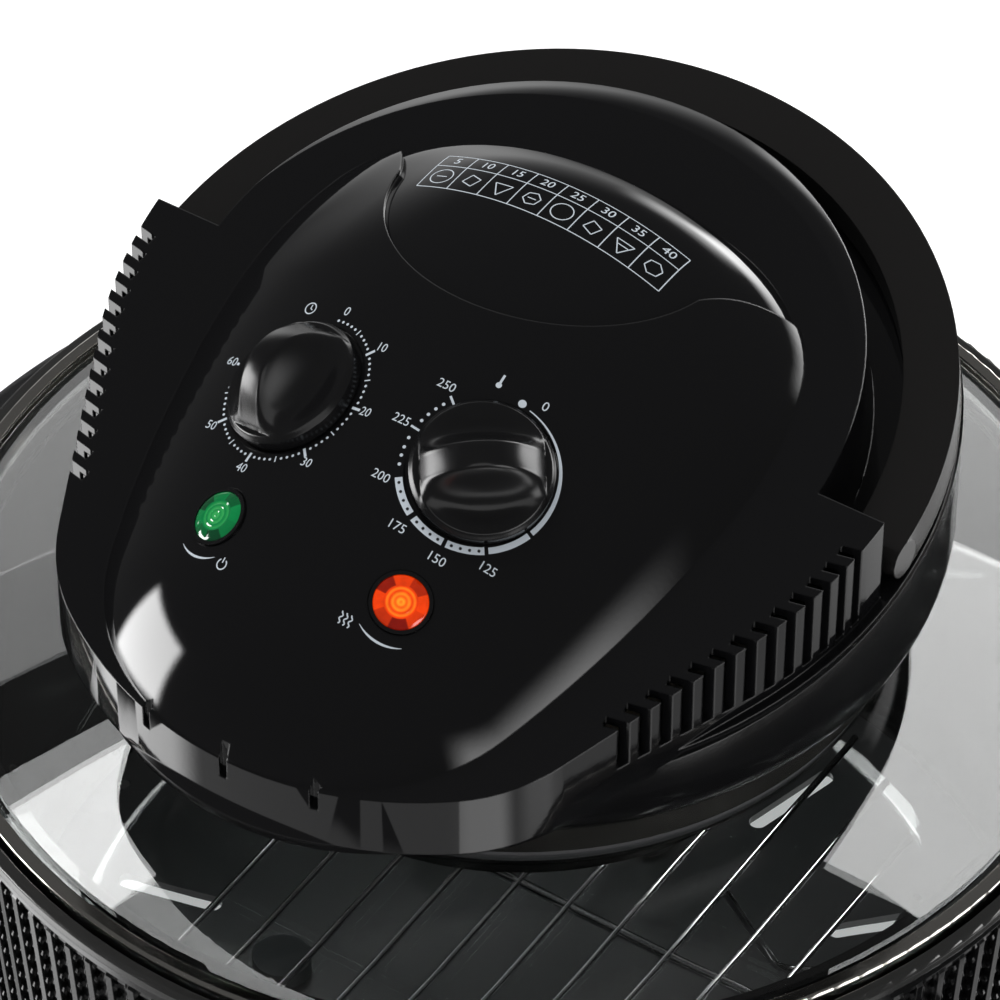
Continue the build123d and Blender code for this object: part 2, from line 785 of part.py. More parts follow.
guard_foot = reflector_foot - guard_depth
with BuildPart() as heater_guard:
    with BuildSketch(level(guard_foot)):
        Circle(guard_radius)
        Circle(guard_radius - guard_sheet, mode=Mode.SUBTRACT)
    extrude(amount=guard_depth)
    with BuildSketch(level(guard_foot)):
        for guard_ring in guard_rings:
            Circle(guard_ring + guard_sheet)
            Circle(guard_ring - guard_sheet, mode=Mode.SUBTRACT)
    extrude(amount=guard_sheet)
    with BuildSketch(level(guard_foot)):
        with PolarLocations((guard_radius + guard_rings[0]) / 2, guard_spokes):
            Rectangle(guard_radius - guard_rings[0] - guard_sheet, 2 * guard_sheet)
    extrude(amount=guard_sheet)
save("heater_guard", heater_guard.part)

# ---------------------------------------------------------------- forms of the head
deck_plane = tilted(0, deck_height, deck_tilt)
parting_plane = tilted(0, parting_height, parting_tilt)
drum_plane = tilted(drum_centre, drum_height, drum_tilt)
drum_side = Plane(origin=drum_plane.origin, x_dir=(1, 0, 0), z_dir=-drum_plane.y_dir)
drum_axis = Axis(drum_plane.origin, drum_plane.z_dir)
drum_depth = 60.0
bulge_lean = math.radians(bulge_tilt)
bulge_axis = Axis((0, bowl_y, rim_height + bulge_axis_height),
                  (0, math.cos(bulge_lean), math.sin(bulge_lean)))
line_dir = (-math.sin(math.radians(side_line_angle)), -math.cos(math.radians(side_line_angle)))


def front_outline(inset, flare=0.0):
    """Plan of the deck's front: two wing sides, two straight runs and the round chin."""
    wing = wing_radius - inset + flare
    chin = chin_radius - inset + flare
    start = (wing * math.cos(math.radians(side_line_angle)),
             -wing * math.sin(math.radians(side_line_angle)))
    rel = (start[0], start[1] - chin_centre)
    along = rel[0] * line_dir[0] + rel[1] * line_dir[1]
    run = -along + math.sqrt(along ** 2 - rel[0] ** 2 - rel[1] ** 2 + chin ** 2)
    corner = (start[0] + run * line_dir[0], start[1] + run * line_dir[1])
    back = wing_back - inset
    back_x = math.sqrt(wing ** 2 - back ** 2)
    turn = math.radians(side_line_angle / 2)
    with BuildSketch(mode=Mode.PRIVATE) as outline:
        with BuildLine():
            ThreePointArc((back_x, back), (wing * math.cos(turn), -wing * math.sin(turn)), start)
            Line(start, corner)
            ThreePointArc(corner, (0, chin_centre - chin), (-corner[0], corner[1]))
            Line((-corner[0], corner[1]), (-start[0], start[1]))
            ThreePointArc((-start[0], start[1]), (-wing * math.cos(turn), -wing * math.sin(turn)),
                          (-back_x, back))
            Line((-back_x, back), (back_x, back))
        make_face()
        fillet(outline.vertices().group_by(Axis.Y)[0], chin_corner_round - inset)
    return outline.sketch


def bulge_profile(inset):
    """Half section of the revolved bulge: back, top, panel and nose arcs, each tangent to the next."""
    top = (bulge_apex[0], bulge_apex[1] - bulge_top_radius)
    back = (bulge_apex[0], bulge_apex[1] - bulge_back_radius)

    def toward(centre, radius, next_radius, angle):
        turn = math.radians(angle)
        step = radius - next_radius
        return centre[0] - step * math.sin(turn), centre[1] + step * math.cos(turn)

    panel = toward(top, bulge_top_radius, bulge_panel_radius, bulge_top_angle)
    nose = toward(panel, bulge_panel_radius, bulge_nose_radius, bulge_panel_angle)

    def foot(point):
        """Nearest point on the bulge's axis."""
        along = point[0] * math.cos(bulge_lean) + (point[1] - bulge_axis_height) * math.sin(bulge_lean)
        return along * math.cos(bulge_lean), bulge_axis_height + along * math.sin(bulge_lean)

    with BuildSketch(side, mode=Mode.PRIVATE) as half:
        with BuildLine():
            CenterArc(back, bulge_back_radius - inset, 90 - bulge_back_angle, bulge_back_angle)
            CenterArc(top, bulge_top_radius - inset, 90, bulge_top_angle)
            CenterArc(panel, bulge_panel_radius - inset, 90 + bulge_top_angle,
                      bulge_panel_angle - bulge_top_angle)
            CenterArc(nose, bulge_nose_radius - inset, 90 + bulge_panel_angle,
                      bulge_nose_angle - bulge_panel_angle)
            back_turn = math.radians(90 - bulge_back_angle)
            nose_turn = math.radians(90 + bulge_nose_angle)
            back_end = (back[0] + (bulge_back_radius - inset) * math.cos(back_turn),
                        back[1] + (bulge_back_radius - inset) * math.sin(back_turn))
            nose_end = (nose[0] + (bulge_nose_radius - inset) * math.cos(nose_turn),
                        nose[1] + (bulge_nose_radius - inset) * math.sin(nose_turn))
            Polyline(nose_end, foot(nose_end), foot(back_end), back_end)
        make_face()
    return half.sketch


def bulge_form(inset):
    """The control bulge down to just under the deck's top."""
    with BuildPart(mode=Mode.PRIVATE) as bulge:
        add(bulge_profile(inset))
        revolve(axis=bulge_axis)
        split(bisect_by=deck_plane.offset(-inset - 1), keep=Keep.TOP)
    return bulge.part


def chin_wedge(inset):
    """The chin's flared front, between its foot on the parting plane and the deck."""
    chord = chin_corner_chord
    faces = []
    for plane, reach in ((parting_plane, chin_radius - chin_centre + chin_flare),
                         (deck_plane.offset(-inset), chin_radius - chin_centre)):
        with BuildSketch(plane, mode=Mode.PRIVATE) as section:
            with BuildLine():
                end = (chord[0] - inset, chord[1])
                ThreePointArc(end, (0, inset - reach), (-end[0], end[1]))
                Line((-end[0], end[1]), end)
            make_face()
        faces.append(section.sketch.faces()[0])
    with BuildPart(mode=Mode.PRIVATE) as wedge:
        loft(faces, ruled=True)
    return wedge.part


def head_form(inset):
    """Outer form of the upper cover, or the same form set in by the wall."""
    with BuildPart(mode=Mode.PRIVATE) as form:
        with BuildSketch(level(0)):
            add(front_outline(inset))
        extrude(amount=2 * deck_height)
        with BuildSketch(drum_side):
            with BuildLine():
                shoulder = drum_radius - inset
                Polyline((0, -drum_depth), (shoulder, -drum_depth), (shoulder, -inset))
                ThreePointArc(
                    (shoulder, -inset),
                    (shoulder - 0.35 * shoulder_width, 0.62 * shoulder_rise - inset),
                    (shoulder - shoulder_width, shoulder_rise - inset),
                )
                Polyline((shoulder - shoulder_width, shoulder_rise - inset),
                         (shoulder - 2 * shoulder_width, 1.4 * shoulder_rise - inset),
                         (0, 1.4 * shoulder_rise - inset), (0, -drum_depth))
            make_face()
        revolve(axis=drum_axis)
        add(chin_wedge(inset))
        split(bisect_by=deck_plane.offset(-inset), keep=Keep.BOTTOM)
        add(bulge_form(inset))
        if inset == 0:
            with BuildSketch(parting_plane):
                Circle(flange_radius)
            extrude(amount=cover_wall)
        split(bisect_by=parting_plane, keep=Keep.TOP)
    return form.part



def bulge_seat(x, y):
    """Plane on the bulge's panel at a plan position, facing out, its x axis to the right."""
    lean_y, lean_z = math.cos(bulge_lean), math.sin(bulge_lean)
    centre_y = (bulge_apex[0] - (bulge_top_radius - bulge_panel_radius)
                * math.sin(math.radians(bulge_top_angle)))
    centre_z = (bulge_apex[1] - bulge_top_radius + (bulge_top_radius - bulge_panel_radius)
                * math.cos(math.radians(bulge_top_angle)) - bulge_axis_height)
    arc_along = centre_y * lean_y + centre_z * lean_z
    arc_out = centre_z * lean_y - centre_y * lean_z
    low, high = bulge_axis_height, bulge_apex[1]
    for _ in range(50):
        z = (low + high) / 2
        along = y * lean_y + (z - bulge_axis_height) * lean_z - arc_along
        upright = (z - bulge_axis_height) * lean_y - y * lean_z
        out = math.hypot(x, upright)
        if math.hypot(along, out - arc_out) > bulge_panel_radius:
            high = z
        else:
            low = z
    slope_along = along / bulge_panel_radius
    slope_out = (out - arc_out) / bulge_panel_radius
    normal = Vector(
        slope_out * x / out,
        slope_along * lean_y - slope_out * upright / out * lean_z,
        slope_along * lean_z + slope_out * upright / out * lean_y,
    )
    right = Vector(1, 0, 0) - normal * normal.X
    return Plane(origin=(x, bowl_y + y, rim_height + z), x_dir=right, z_dir=normal)


timer_seat = bulge_seat(-dial_place[0], dial_place[1])
thermostat_seat = bulge_seat(dial_place[0], dial_place[1])
power_seat = bulge_seat(-lamp_place[0], lamp_place[1])
heat_seat = bulge_seat(lamp_place[0], lamp_place[1])
dial_seats = (timer_seat, thermostat_seat)
lamp_seats = (power_seat, heat_seat)
handle_plane = tilted(handle_centre, handle_height, handle_tilt)
pivot_place = handle_plane.from_local_coords((0, handle_pivot, -handle_thickness / 2))
pivot_side = Plane(origin=pivot_place, x_dir=(0, 1, 0), z_dir=(1, 0, 0))
plunger_plane = Plane(origin=parting_plane.from_local_coords(plunger_place + (0,)),
                      x_dir=(1, 0, 0), z_dir=parting_plane.z_dir)


def wing_edge(y):
    """Half width of the deck at a distance along the wings."""
    start = -wing_radius * math.sin(math.radians(side_line_angle))
    if y > start:
        return math.sqrt(wing_radius ** 2 - y ** 2)
    run = (start - y) * math.tan(math.radians(side_line_angle))
    return wing_radius * math.cos(math.radians(side_line_angle)) - run


# ---------------------------------------------------------------- the upper cover
cover_screw_spots = [
    (way * spot[0], spot[1]) for spot in (front_screw_place, back_screw_place) for way in (1, -1)
]
with BuildPart() as screw_posts:
    with BuildSketch(level(collar_top)):
        with Locations(*cover_screw_spots):
            Circle(screw_post_radius)
    extrude(amount=2 * deck_height)
with BuildPart() as screw_bores:
    for spot in cover_screw_spots:
        with BuildSketch(level(collar_top - 1)):
            with Locations(spot):
                Circle(screw_radius + screw_clearance)
        extrude(amount=parting_height + math.tan(math.radians(parting_tilt)) * spot[1]
                - collar_top + 1 + cover_screw_bite + 1)

with BuildPart() as cover_hollow:
    add(head_form(cover_wall))
    for seat in dial_seats:
        with BuildSketch(seat.offset(-dial_boss_depth)):
            Circle(dial_boss_radius)
        extrude(amount=2 * dial_boss_depth, mode=Mode.SUBTRACT)
    add(screw_posts.part, mode=Mode.SUBTRACT)

crease_turn = -10
crease_end = (crease_radius * math.cos(math.radians(crease_turn)),
              crease_centre + crease_radius * math.sin(math.radians(crease_turn)))
with BuildPart() as lens_recess:
    with BuildSketch(level(0)):
        with BuildLine():
            ThreePointArc(crease_end, (0, crease_centre - crease_radius),
                          (-crease_end[0], crease_end[1]))
            for way in (1, -1):
                ThreePointArc(
                    (way * crease_end[0], crease_end[1]),
                    (way * crease_flare[0], crease_flare[1]),
                    (way * lens_tip[0], lens_tip[1]),
                )
                Line((way * lens_tip[0], lens_tip[1]), (way * drum_radius, lens_tip[1] + 6))
                Line((way * drum_radius, lens_tip[1] + 6), (way * drum_radius, drum_radius))
            Line((drum_radius, drum_radius), (-drum_radius, drum_radius))
        make_face()
    extrude(amount=2 * deck_height)
    split(bisect_by=deck_plane, keep=Keep.TOP)
    add(bulge_form(lens_step), mode=Mode.SUBTRACT)

slot_foot = tilted(0, slot_foot_height, math.degrees(math.atan(slot_foot_slope)))
with BuildPart() as wing_slots:
    with BuildSketch(level(0)):
        for number in range(slot_count):
            place = slot_first - number * slot_pitch
            with Locations((wing_edge(place) - slot_depth, place)):
                Rectangle(3 * slot_depth, slot_width, rotation=slot_sweep,
                          align=(Align.MIN, Align.CENTER))
        mirror(about=Plane.YZ)
    extrude(amount=2 * deck_height)
    split(bisect_by=slot_foot, keep=Keep.TOP)

with BuildPart() as chin_notches:
    with BuildSketch(level(0)):
        for across in (-notch_spacing, 0, notch_spacing):
            edge = chin_centre - math.sqrt(chin_radius ** 2 - across ** 2)
            with Locations((across, edge + notch_depth)):
                Rectangle(notch_width, 4 * notch_depth, align=(Align.CENTER, Align.MAX))
    extrude(amount=2 * deck_height)
    split(bisect_by=deck_plane.offset(-notch_height), keep=Keep.TOP)

boss_start = drum_radius - cover_wall - 1
boss_end = handle_inner - pivot_gap
with BuildPart() as upper_cover:
    add(head_form(0))
    add(cover_hollow.part, mode=Mode.SUBTRACT)
    add(lens_recess.part, mode=Mode.SUBTRACT)
    add(wing_slots.part, mode=Mode.SUBTRACT)
    add(chin_notches.part, mode=Mode.SUBTRACT)
    for seat in dial_seats:
        with BuildSketch(seat.offset(-knob_well_depth)):
            Circle(knob_well_radius)
        extrude(amount=2 * knob_well_depth, mode=Mode.SUBTRACT)
        with BuildSketch(seat.offset(-2 * dial_boss_depth)):
            Circle(shaft_radius + free_fit)
        extrude(amount=2 * dial_boss_depth, mode=Mode.SUBTRACT)
    for seat in lamp_seats:
        with BuildSketch(seat.offset(-bezel_height)):
            Circle(lens_radius + bezel_width + screw_clearance)
        extrude(amount=3 * bezel_height, mode=Mode.SUBTRACT)
        with BuildSketch(seat.offset(-3 * cover_wall)):
            Circle(lens_stem_radius + screw_clearance)
        extrude(amount=3 * cover_wall, mode=Mode.SUBTRACT)
    for way in (1, -1):
        with BuildSketch(pivot_side.offset(way * boss_start)):
            Circle(pivot_boss_radius)
        extrude(amount=way * (boss_end - boss_start))
        with BuildSketch(pivot_side.offset(way * (boss_start - 4))):
            Circle(pivot_pin_radius + running_fit)
        extrude(amount=way * (boss_end - boss_start + 5), mode=Mode.SUBTRACT)
    with BuildSketch(plunger_plane):
        Circle(plunger_radius + running_fit)
    extrude(amount=2 * cover_wall, mode=Mode.SUBTRACT)
    add(screw_bores.part, mode=Mode.SUBTRACT)
save("upper_cover", upper_cover.part)

# ---------------------------------------------------------------- the lower skirt and its fittings
with BuildPart() as skirt_inside:
    with BuildSketch(radial):
        with BuildLine():
            inner_foot = skirt_foot_radius - cover_wall
            inner_full = flange_radius - cover_wall
            Line((0, collar_top + cover_wall), (inner_foot, collar_top + cover_wall))
            ThreePointArc(
                (inner_foot, collar_top + cover_wall),
                (inner_foot + 0.72 * (inner_full - inner_foot), (collar_top + skirt_full_height) / 2),
                (inner_full, skirt_full_height),
            )
            Polyline((inner_full, skirt_full_height), (inner_full, deck_height),
                     (0, deck_height), (0, collar_top + cover_wall))
        make_face()
    revolve(axis=bowl_axis)

gland_plane = Plane(origin=(0, bowl_y + flange_radius + 0.1, rim_height + gland_height),
                    x_dir=(-1, 0, 0), z_dir=(0, 1, 0))
with BuildPart() as skirt_posts:
    add(screw_posts.part)
    split(bisect_by=parting_plane, keep=Keep.BOTTOM)

with BuildPart() as lower_skirt:
    with BuildSketch(radial):
        with BuildLine():
            Line((0, collar_top), (skirt_foot_radius, collar_top))
            ThreePointArc(
                (skirt_foot_radius, collar_top),
                (skirt_foot_radius + 0.72 * (flange_radius - skirt_foot_radius),
                 (collar_top + skirt_full_height) / 2 - 1),
                (flange_radius, skirt_full_height),
            )
            Polyline((flange_radius, skirt_full_height), (flange_radius, deck_height),
                     (0, deck_height), (0, collar_top))
        make_face()
    revolve(axis=bowl_axis)
    split(bisect_by=parting_plane, keep=Keep.BOTTOM)
    with BuildSketch(parting_plane):
        add(front_outline(0))
        with BuildLine():
            chin_end = chin_corner_chord
            chin_reach = chin_radius - chin_centre + chin_flare
            ThreePointArc(chin_end, (0, -chin_reach), (-chin_end[0], chin_end[1]))
            Line((-chin_end[0], chin_end[1]), chin_end)
        make_face()
    extrude(amount=-cover_wall)
    add(skirt_inside.part, mode=Mode.SUBTRACT)
    with BuildSketch(level(collar_top)):
        Circle(clamp_flange_inner)
    extrude(amount=cover_wall, mode=Mode.SUBTRACT)
    add(skirt_posts.part)
    add(screw_bores.part, mode=Mode.SUBTRACT)
    add(clamp_holes.part, mode=Mode.SUBTRACT)
    with BuildSketch(level(collar_top - 1)):
        with Locations((0, bracket_screw_spot), (0, -bracket_screw_spot)):
            Circle(bracket_screw_radius + screw_clearance)
    extrude(amount=2 * cover_wall, mode=Mode.SUBTRACT)
    with BuildSketch(gland_plane):
        Circle(gland_radius + screw_clearance)
    extrude(amount=-6 * cover_wall, mode=Mode.SUBTRACT)
save("lower_skirt", lower_skirt.part)

with BuildPart() as cord_gland:
    with BuildSketch(gland_plane):
        Circle(gland_collar)
    extrude(amount=4)
    with BuildSketch(gland_plane.offset(-8)):
        Circle(gland_radius)
    extrude(amount=8)
    fillet(cord_gland.edges().group_by(Axis.Y)[-1], 1.5)
    with BuildSketch(gland_plane.offset(-8)):
        Circle(gland_bore)
    extrude(amount=14, mode=Mode.SUBTRACT)
save("cord_gland", cord_gland.part)

# screws that clamp reflector, lid glass, collar and skirt together, each with its nut on top
clamp_top = collar_top + cover_wall
with BuildPart() as clamp_screws:
    with BuildSketch(level(reflector_foot - screw_head_height)):
        with PolarLocations(clamp_circle, 4, start_angle=45):
            Circle(screw_head_radius)
    extrude(amount=screw_head_height)
    with BuildSketch(level(reflector_foot)):
        with PolarLocations(clamp_circle, 4, start_angle=45):
            Circle(screw_radius)
    extrude(amount=clamp_top + 4.5 - reflector_foot)
    with BuildSketch(level(clamp_top)):
        with PolarLocations(clamp_circle, 4, start_angle=45):
            RegularPolygon(radius=4.0, side_count=6)
    extrude(amount=3.2)
save("clamp_screws", clamp_screws.part)

with BuildPart() as cover_screws:
    for spot in cover_screw_spots:
        rise = parting_height + math.tan(math.radians(parting_tilt)) * spot[1]
        with BuildSketch(level(collar_top - screw_head_height)):
            with Locations(spot):
                Circle(screw_head_radius)
        extrude(amount=screw_head_height)
        with BuildSketch(level(collar_top)):
            with Locations(spot):
                Circle(screw_radius)
        extrude(amount=rise + cover_screw_bite - collar_top)
save("cover_screws", cover_screws.part)

# ---------------------------------------------------------------- motor, fans and wiring block
bracket_top = clamp_top + bracket_bar_sheet
with BuildPart() as motor_bracket:
    with BuildSketch(level(clamp_top)):
        Rectangle(bracket_bar_width, 2 * (clamp_circle + 1))
        Circle(motor_radius)
        Circle(fan_shaft_radius + free_fit, mode=Mode.SUBTRACT)
        with Locations((0, bracket_screw_spot), (0, -bracket_screw_spot)):
            Circle(bracket_screw_radius + screw_clearance, mode=Mode.SUBTRACT)
    extrude(amount=bracket_bar_sheet)
save("motor_bracket", motor_bracket.part)

with BuildPart() as bracket_screws:
    with BuildSketch(level(bracket_top)):
        with Locations((0, bracket_screw_spot), (0, -bracket_screw_spot)):
            Circle(2 * bracket_screw_radius)
    extrude(amount=screw_head_height)
    with BuildSketch(level(collar_top - 2)):
        with Locations((0, bracket_screw_spot), (0, -bracket_screw_spot)):
            Circle(bracket_screw_radius)
    extrude(amount=bracket_top - collar_top + 2)
save("bracket_screws", bracket_screws.part)

motor_top = bracket_top + motor_height
with BuildPart() as fan_motor:
    with BuildSketch(level(bracket_top)):
        Circle(motor_radius)
    extrude(amount=motor_height)
    fillet(fan_motor.edges().group_by(Axis.Z)[-1], 3)
    with BuildSketch(level(bracket_top + motor_height / 3)):
        Circle(motor_radius + 3)
        Circle(motor_radius - 1, mode=Mode.SUBTRACT)
    extrude(amount=motor_height / 3)
    with BuildSketch(level(bracket_top)):
        Circle(fan_shaft_radius + running_fit)
    extrude(amount=motor_height, mode=Mode.SUBTRACT)
save("fan_motor", fan_motor.part)

fan_shaft_foot = reflector_foot - guard_depth + guard_sheet + 2.4
with BuildPart() as fan_shaft:
    with BuildSketch(level(fan_shaft_foot)):
        Circle(fan_shaft_radius)
    extrude(amount=fan_shaft_top - fan_shaft_foot)
save("fan_shaft", fan_shaft.part)


def fan(radius, plate, blades, away):
    """Stamped fan: a plate with upright blades on one side and a hub on the shaft."""
    with BuildPart(mode=Mode.PRIVATE) as made:
        with BuildSketch(level(plate)):
            Circle(radius)
        extrude(amount=away * blade_thickness)
        with BuildSketch(level(plate)):
            with PolarLocations((radius + hub_radius) / 2 - 1.5, blades):
                Rectangle(radius - hub_radius + 1, blade_thickness)
            Circle(hub_radius)
        extrude(amount=away * blade_height)
        with BuildSketch(level(plate)):
            Circle(fan_shaft_radius + press_play)
        extrude(amount=away * blade_height, mode=Mode.SUBTRACT)
    return made.part


cooling_fan_plate = reflector_top + insulation_thickness + 3.5
save("cooling_fan", fan(cooling_fan_radius, cooling_fan_plate, blade_count, 1))
convection_fan_plate = reflector_foot - 6
save("convection_fan", fan(convection_fan_radius, convection_fan_plate, blade_count, -1))

with BuildPart() as terminal_block:
    with BuildSketch(level(bracket_top)):
        with Locations((0, terminal_start)):
            Rectangle(terminal_size[0], terminal_size[1], align=(Align.CENTER, Align.MIN))
    extrude(amount=terminal_size[2])
    with BuildSketch(level(bracket_top + terminal_size[2])):
        with Locations((0, terminal_start + terminal_size[1] / 2)):
            with GridLocations(terminal_size[0] / 2, terminal_size[1] / 3, 2, 3):
                Circle(1.8)
    extrude(amount=-4, mode=Mode.SUBTRACT)
save("terminal_block", terminal_block.part)

# the lamp's two leads rise beside the terminal block and turn in to it
with BuildPart() as tube_leads:
    for spot in tube_end_spots:
        way = math.copysign(1, spot[0])
        with BuildSketch(level(reflector_foot)):
            with Locations(spot):
                Circle(lead_radius)
        extrude(amount=lead_rise - reflector_foot + 2 * lead_radius)
        with BuildSketch(Plane(origin=(spot[0], bowl_y + spot[1], rim_height + lead_rise),
                               x_dir=(0, 1, 0), z_dir=(-way, 0, 0))):
            Circle(lead_radius - 0.3)
        extrude(amount=abs(spot[0]) - terminal_size[0] / 2)
save("tube_leads", tube_leads.part)

# ---------------------------------------------------------------- dials and lamps
with BuildPart() as timer:
    with BuildSketch(timer_seat.offset(-dial_boss_depth)):
        Circle(timer_radius)
        Circle(shaft_radius + running_fit, mode=Mode.SUBTRACT)
    extrude(amount=-timer_depth)
    with BuildSketch(timer_seat.offset(-dial_boss_depth - timer_depth)):
        Circle(timer_radius)
    extrude(amount=2)
save("timer", timer.part)

with BuildPart() as thermostat:
    with BuildSketch(thermostat_seat.offset(-dial_boss_depth)):
        Rectangle(thermostat_width, thermostat_length)
        Circle(shaft_radius + running_fit, mode=Mode.SUBTRACT)
    extrude(amount=-thermostat_depth)
    with BuildSketch(thermostat_seat.offset(-dial_boss_depth - thermostat_depth)):
        Rectangle(thermostat_width, thermostat_length)
    extrude(amount=2)
save("thermostat", thermostat.part)

knob_foot = knob_gap - knob_well_depth
shaft_foot = -dial_boss_depth - 12
shaft_top = knob_foot + 9


def dial_shaft(seat):
    """Round shaft from a dial's works up into its knob."""
    with BuildPart(mode=Mode.PRIVATE) as made:
        with BuildSketch(seat.offset(shaft_foot)):
            Circle(shaft_radius)
        extrude(amount=shaft_top - shaft_foot)
    return made.part


def knob(seat, turn):
    """Domed knob with a finger scoop each side of its grip bar, turned clockwise from up the panel."""
    right = seat.x_dir.rotate(Axis(seat.origin, seat.z_dir), -turn)
    turned = Plane(origin=seat.offset(knob_foot).origin, x_dir=right, z_dir=seat.z_dir)
    across = Plane(origin=turned.origin, x_dir=turned.x_dir, z_dir=-turned.y_dir)
    with BuildPart(mode=Mode.PRIVATE) as made:
        with BuildSketch(across):
            with BuildLine():
                sag = knob_height - knob_shoulder[1]
                dome = (knob_shoulder[0] ** 2 + sag ** 2) / (2 * sag)
                half = knob_shoulder[0] / 2
                middle = (half, knob_height - dome + math.sqrt(dome ** 2 - half ** 2))
                ThreePointArc((0, knob_height), middle, knob_shoulder)
                Line(knob_shoulder, (knob_radius, knob_side))
                Line((knob_radius, knob_side), (knob_radius, 0))
                Line((knob_radius, 0), (0, 0))
                Line((0, 0), (0, knob_height))
            make_face()
        revolve(axis=Axis(turned.origin, turned.z_dir))
        with BuildSketch(across):
            for way in (1, -1):
                start = (way * grip_bar_width / 2, knob_height + 0.5)
                end = (way * scoop_end[0], scoop_end[1])
                with BuildLine():
                    ThreePointArc(start, (way * scoop_floor[0], scoop_floor[1]), end)
                    Line(end, (way * 2 * knob_radius, scoop_end[1] + 6))
                    Line((way * 2 * knob_radius, scoop_end[1] + 6), (way * 2 * knob_radius, start[1]))
                    Line((way * 2 * knob_radius, start[1]), start)
                make_face()
        extrude(amount=2 * knob_radius, both=True, mode=Mode.SUBTRACT)
        with BuildSketch(turned):
            Circle(shaft_radius + press_play)
        extrude(amount=shaft_top - knob_foot, mode=Mode.SUBTRACT)
    return made.part


save("timer_shaft", dial_shaft(timer_seat))
save("thermostat_shaft", dial_shaft(thermostat_seat))
save("time_knob", knob(timer_seat, grip_turn[0]))
save("temperature_knob", knob(thermostat_seat, grip_turn[1]))

stem_foot = -6.0
for lens_name, seat in (("power_lens", power_seat), ("heat_lens", heat_seat)):
    with BuildPart() as lens:
        with BuildSketch(seat.offset(-bezel_height)):
            Circle(lens_radius)
        extrude(amount=lens_height)
        fillet(lens.edges().sort_by(Axis(seat.origin, seat.z_dir))[-1], 0.8)
        with BuildSketch(seat.offset(stem_foot)):
            Circle(lens_stem_radius)
        extrude(amount=-stem_foot - bezel_height)
    save(lens_name, lens.part)

with BuildPart() as lamp_bezels:
    for seat in lamp_seats:
        with BuildSketch(seat.offset(-bezel_height)):
            Circle(lens_radius + bezel_width)
            Circle(lens_radius + running_fit, mode=Mode.SUBTRACT)
        extrude(amount=bezel_height + bezel_rise)
save("lamp_bezels", lamp_bezels.part)

holder_top = -3.4
holder_foot = stem_foot - 2
with BuildPart() as lamp_holders:
    for seat in lamp_seats:
        with BuildSketch(seat.offset(holder_foot - 1.5)):
            Circle(lens_stem_radius + 1.8)
        extrude(amount=holder_top - holder_foot + 1.5)
        with BuildSketch(seat.offset(holder_foot)):
            Circle(lens_stem_radius + running_fit)
        extrude(amount=holder_top - holder_foot, mode=Mode.SUBTRACT)
        with BuildSketch(seat.offset(holder_foot - 1.5)):
            Circle(neon_radius + running_fit)
        extrude(amount=1.5, mode=Mode.SUBTRACT)
save("lamp_holders", lamp_holders.part)

with BuildPart() as neon_lamps:
    for seat in lamp_seats:
        with BuildSketch(seat.offset(stem_foot - 0.1)):
            Circle(neon_radius)
        extrude(amount=-neon_length)
save("neon_lamps", neon_lamps.part)

# ---------------------------------------------------------------- handle and its switch
with BuildPart() as carry_handle:
    with BuildSketch(handle_plane):
        with BuildLine():
            inner_end = math.sqrt(handle_inner ** 2 - handle_pivot ** 2)
            outer_end = math.sqrt(handle_outer ** 2 - handle_pivot ** 2)
            ThreePointArc((outer_end, handle_pivot), (0, handle_outer), (-outer_end, handle_pivot))
            Line((-outer_end, handle_pivot), (-inner_end, handle_pivot))
            ThreePointArc((-inner_end, handle_pivot), (0, handle_inner), (inner_end, handle_pivot))
            Line((inner_end, handle_pivot), (outer_end, handle_pivot))
        make_face()
    extrude(amount=-handle_thickness)
    for way in (1, -1):
        with BuildSketch(pivot_side.offset(way * inner_end)):
            Circle(handle_thickness / 2)
        extrude(amount=way * (outer_end - inner_end))
        with BuildSketch(pivot_side.offset(way * (inner_end - 1))):
            Circle(pivot_pin_radius + running_fit)
        extrude(amount=way * (pin_end + free_fit - inner_end + 1), mode=Mode.SUBTRACT)
save("carry_handle", carry_handle.part)

with BuildPart() as pivot_pins:
    for way in (1, -1):
        with BuildSketch(pivot_side.offset(way * (boss_start - 3))):
            Circle(pivot_pin_radius)
        extrude(amount=way * (pin_end - boss_start + 3))
save("pivot_pins", pivot_pins.part)

with BuildPart() as safety_switch:
    with BuildSketch(plunger_plane):
        Rectangle(switch_size[0], switch_size[1])
        Circle(plunger_radius + running_fit, mode=Mode.SUBTRACT)
    extrude(amount=-switch_size[2])
    with BuildSketch(plunger_plane.offset(-switch_size[2])):
        Rectangle(switch_size[0], switch_size[1])
    extrude(amount=2)
save("safety_switch", safety_switch.part)

with BuildPart() as switch_plunger:
    with BuildSketch(plunger_plane.offset(-switch_size[2] + 3)):
        Circle(plunger_radius)
    extrude(amount=switch_size[2] - 3 + cover_wall + plunger_lift)
    fillet(switch_plunger.edges().sort_by(Axis(plunger_plane.origin, plunger_plane.z_dir))[-1], 0.8)
save("switch_plunger", switch_plunger.part)
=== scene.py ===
import math

import bmesh
import bpy
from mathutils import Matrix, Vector
from mathutils.bvhtree import BVHTree

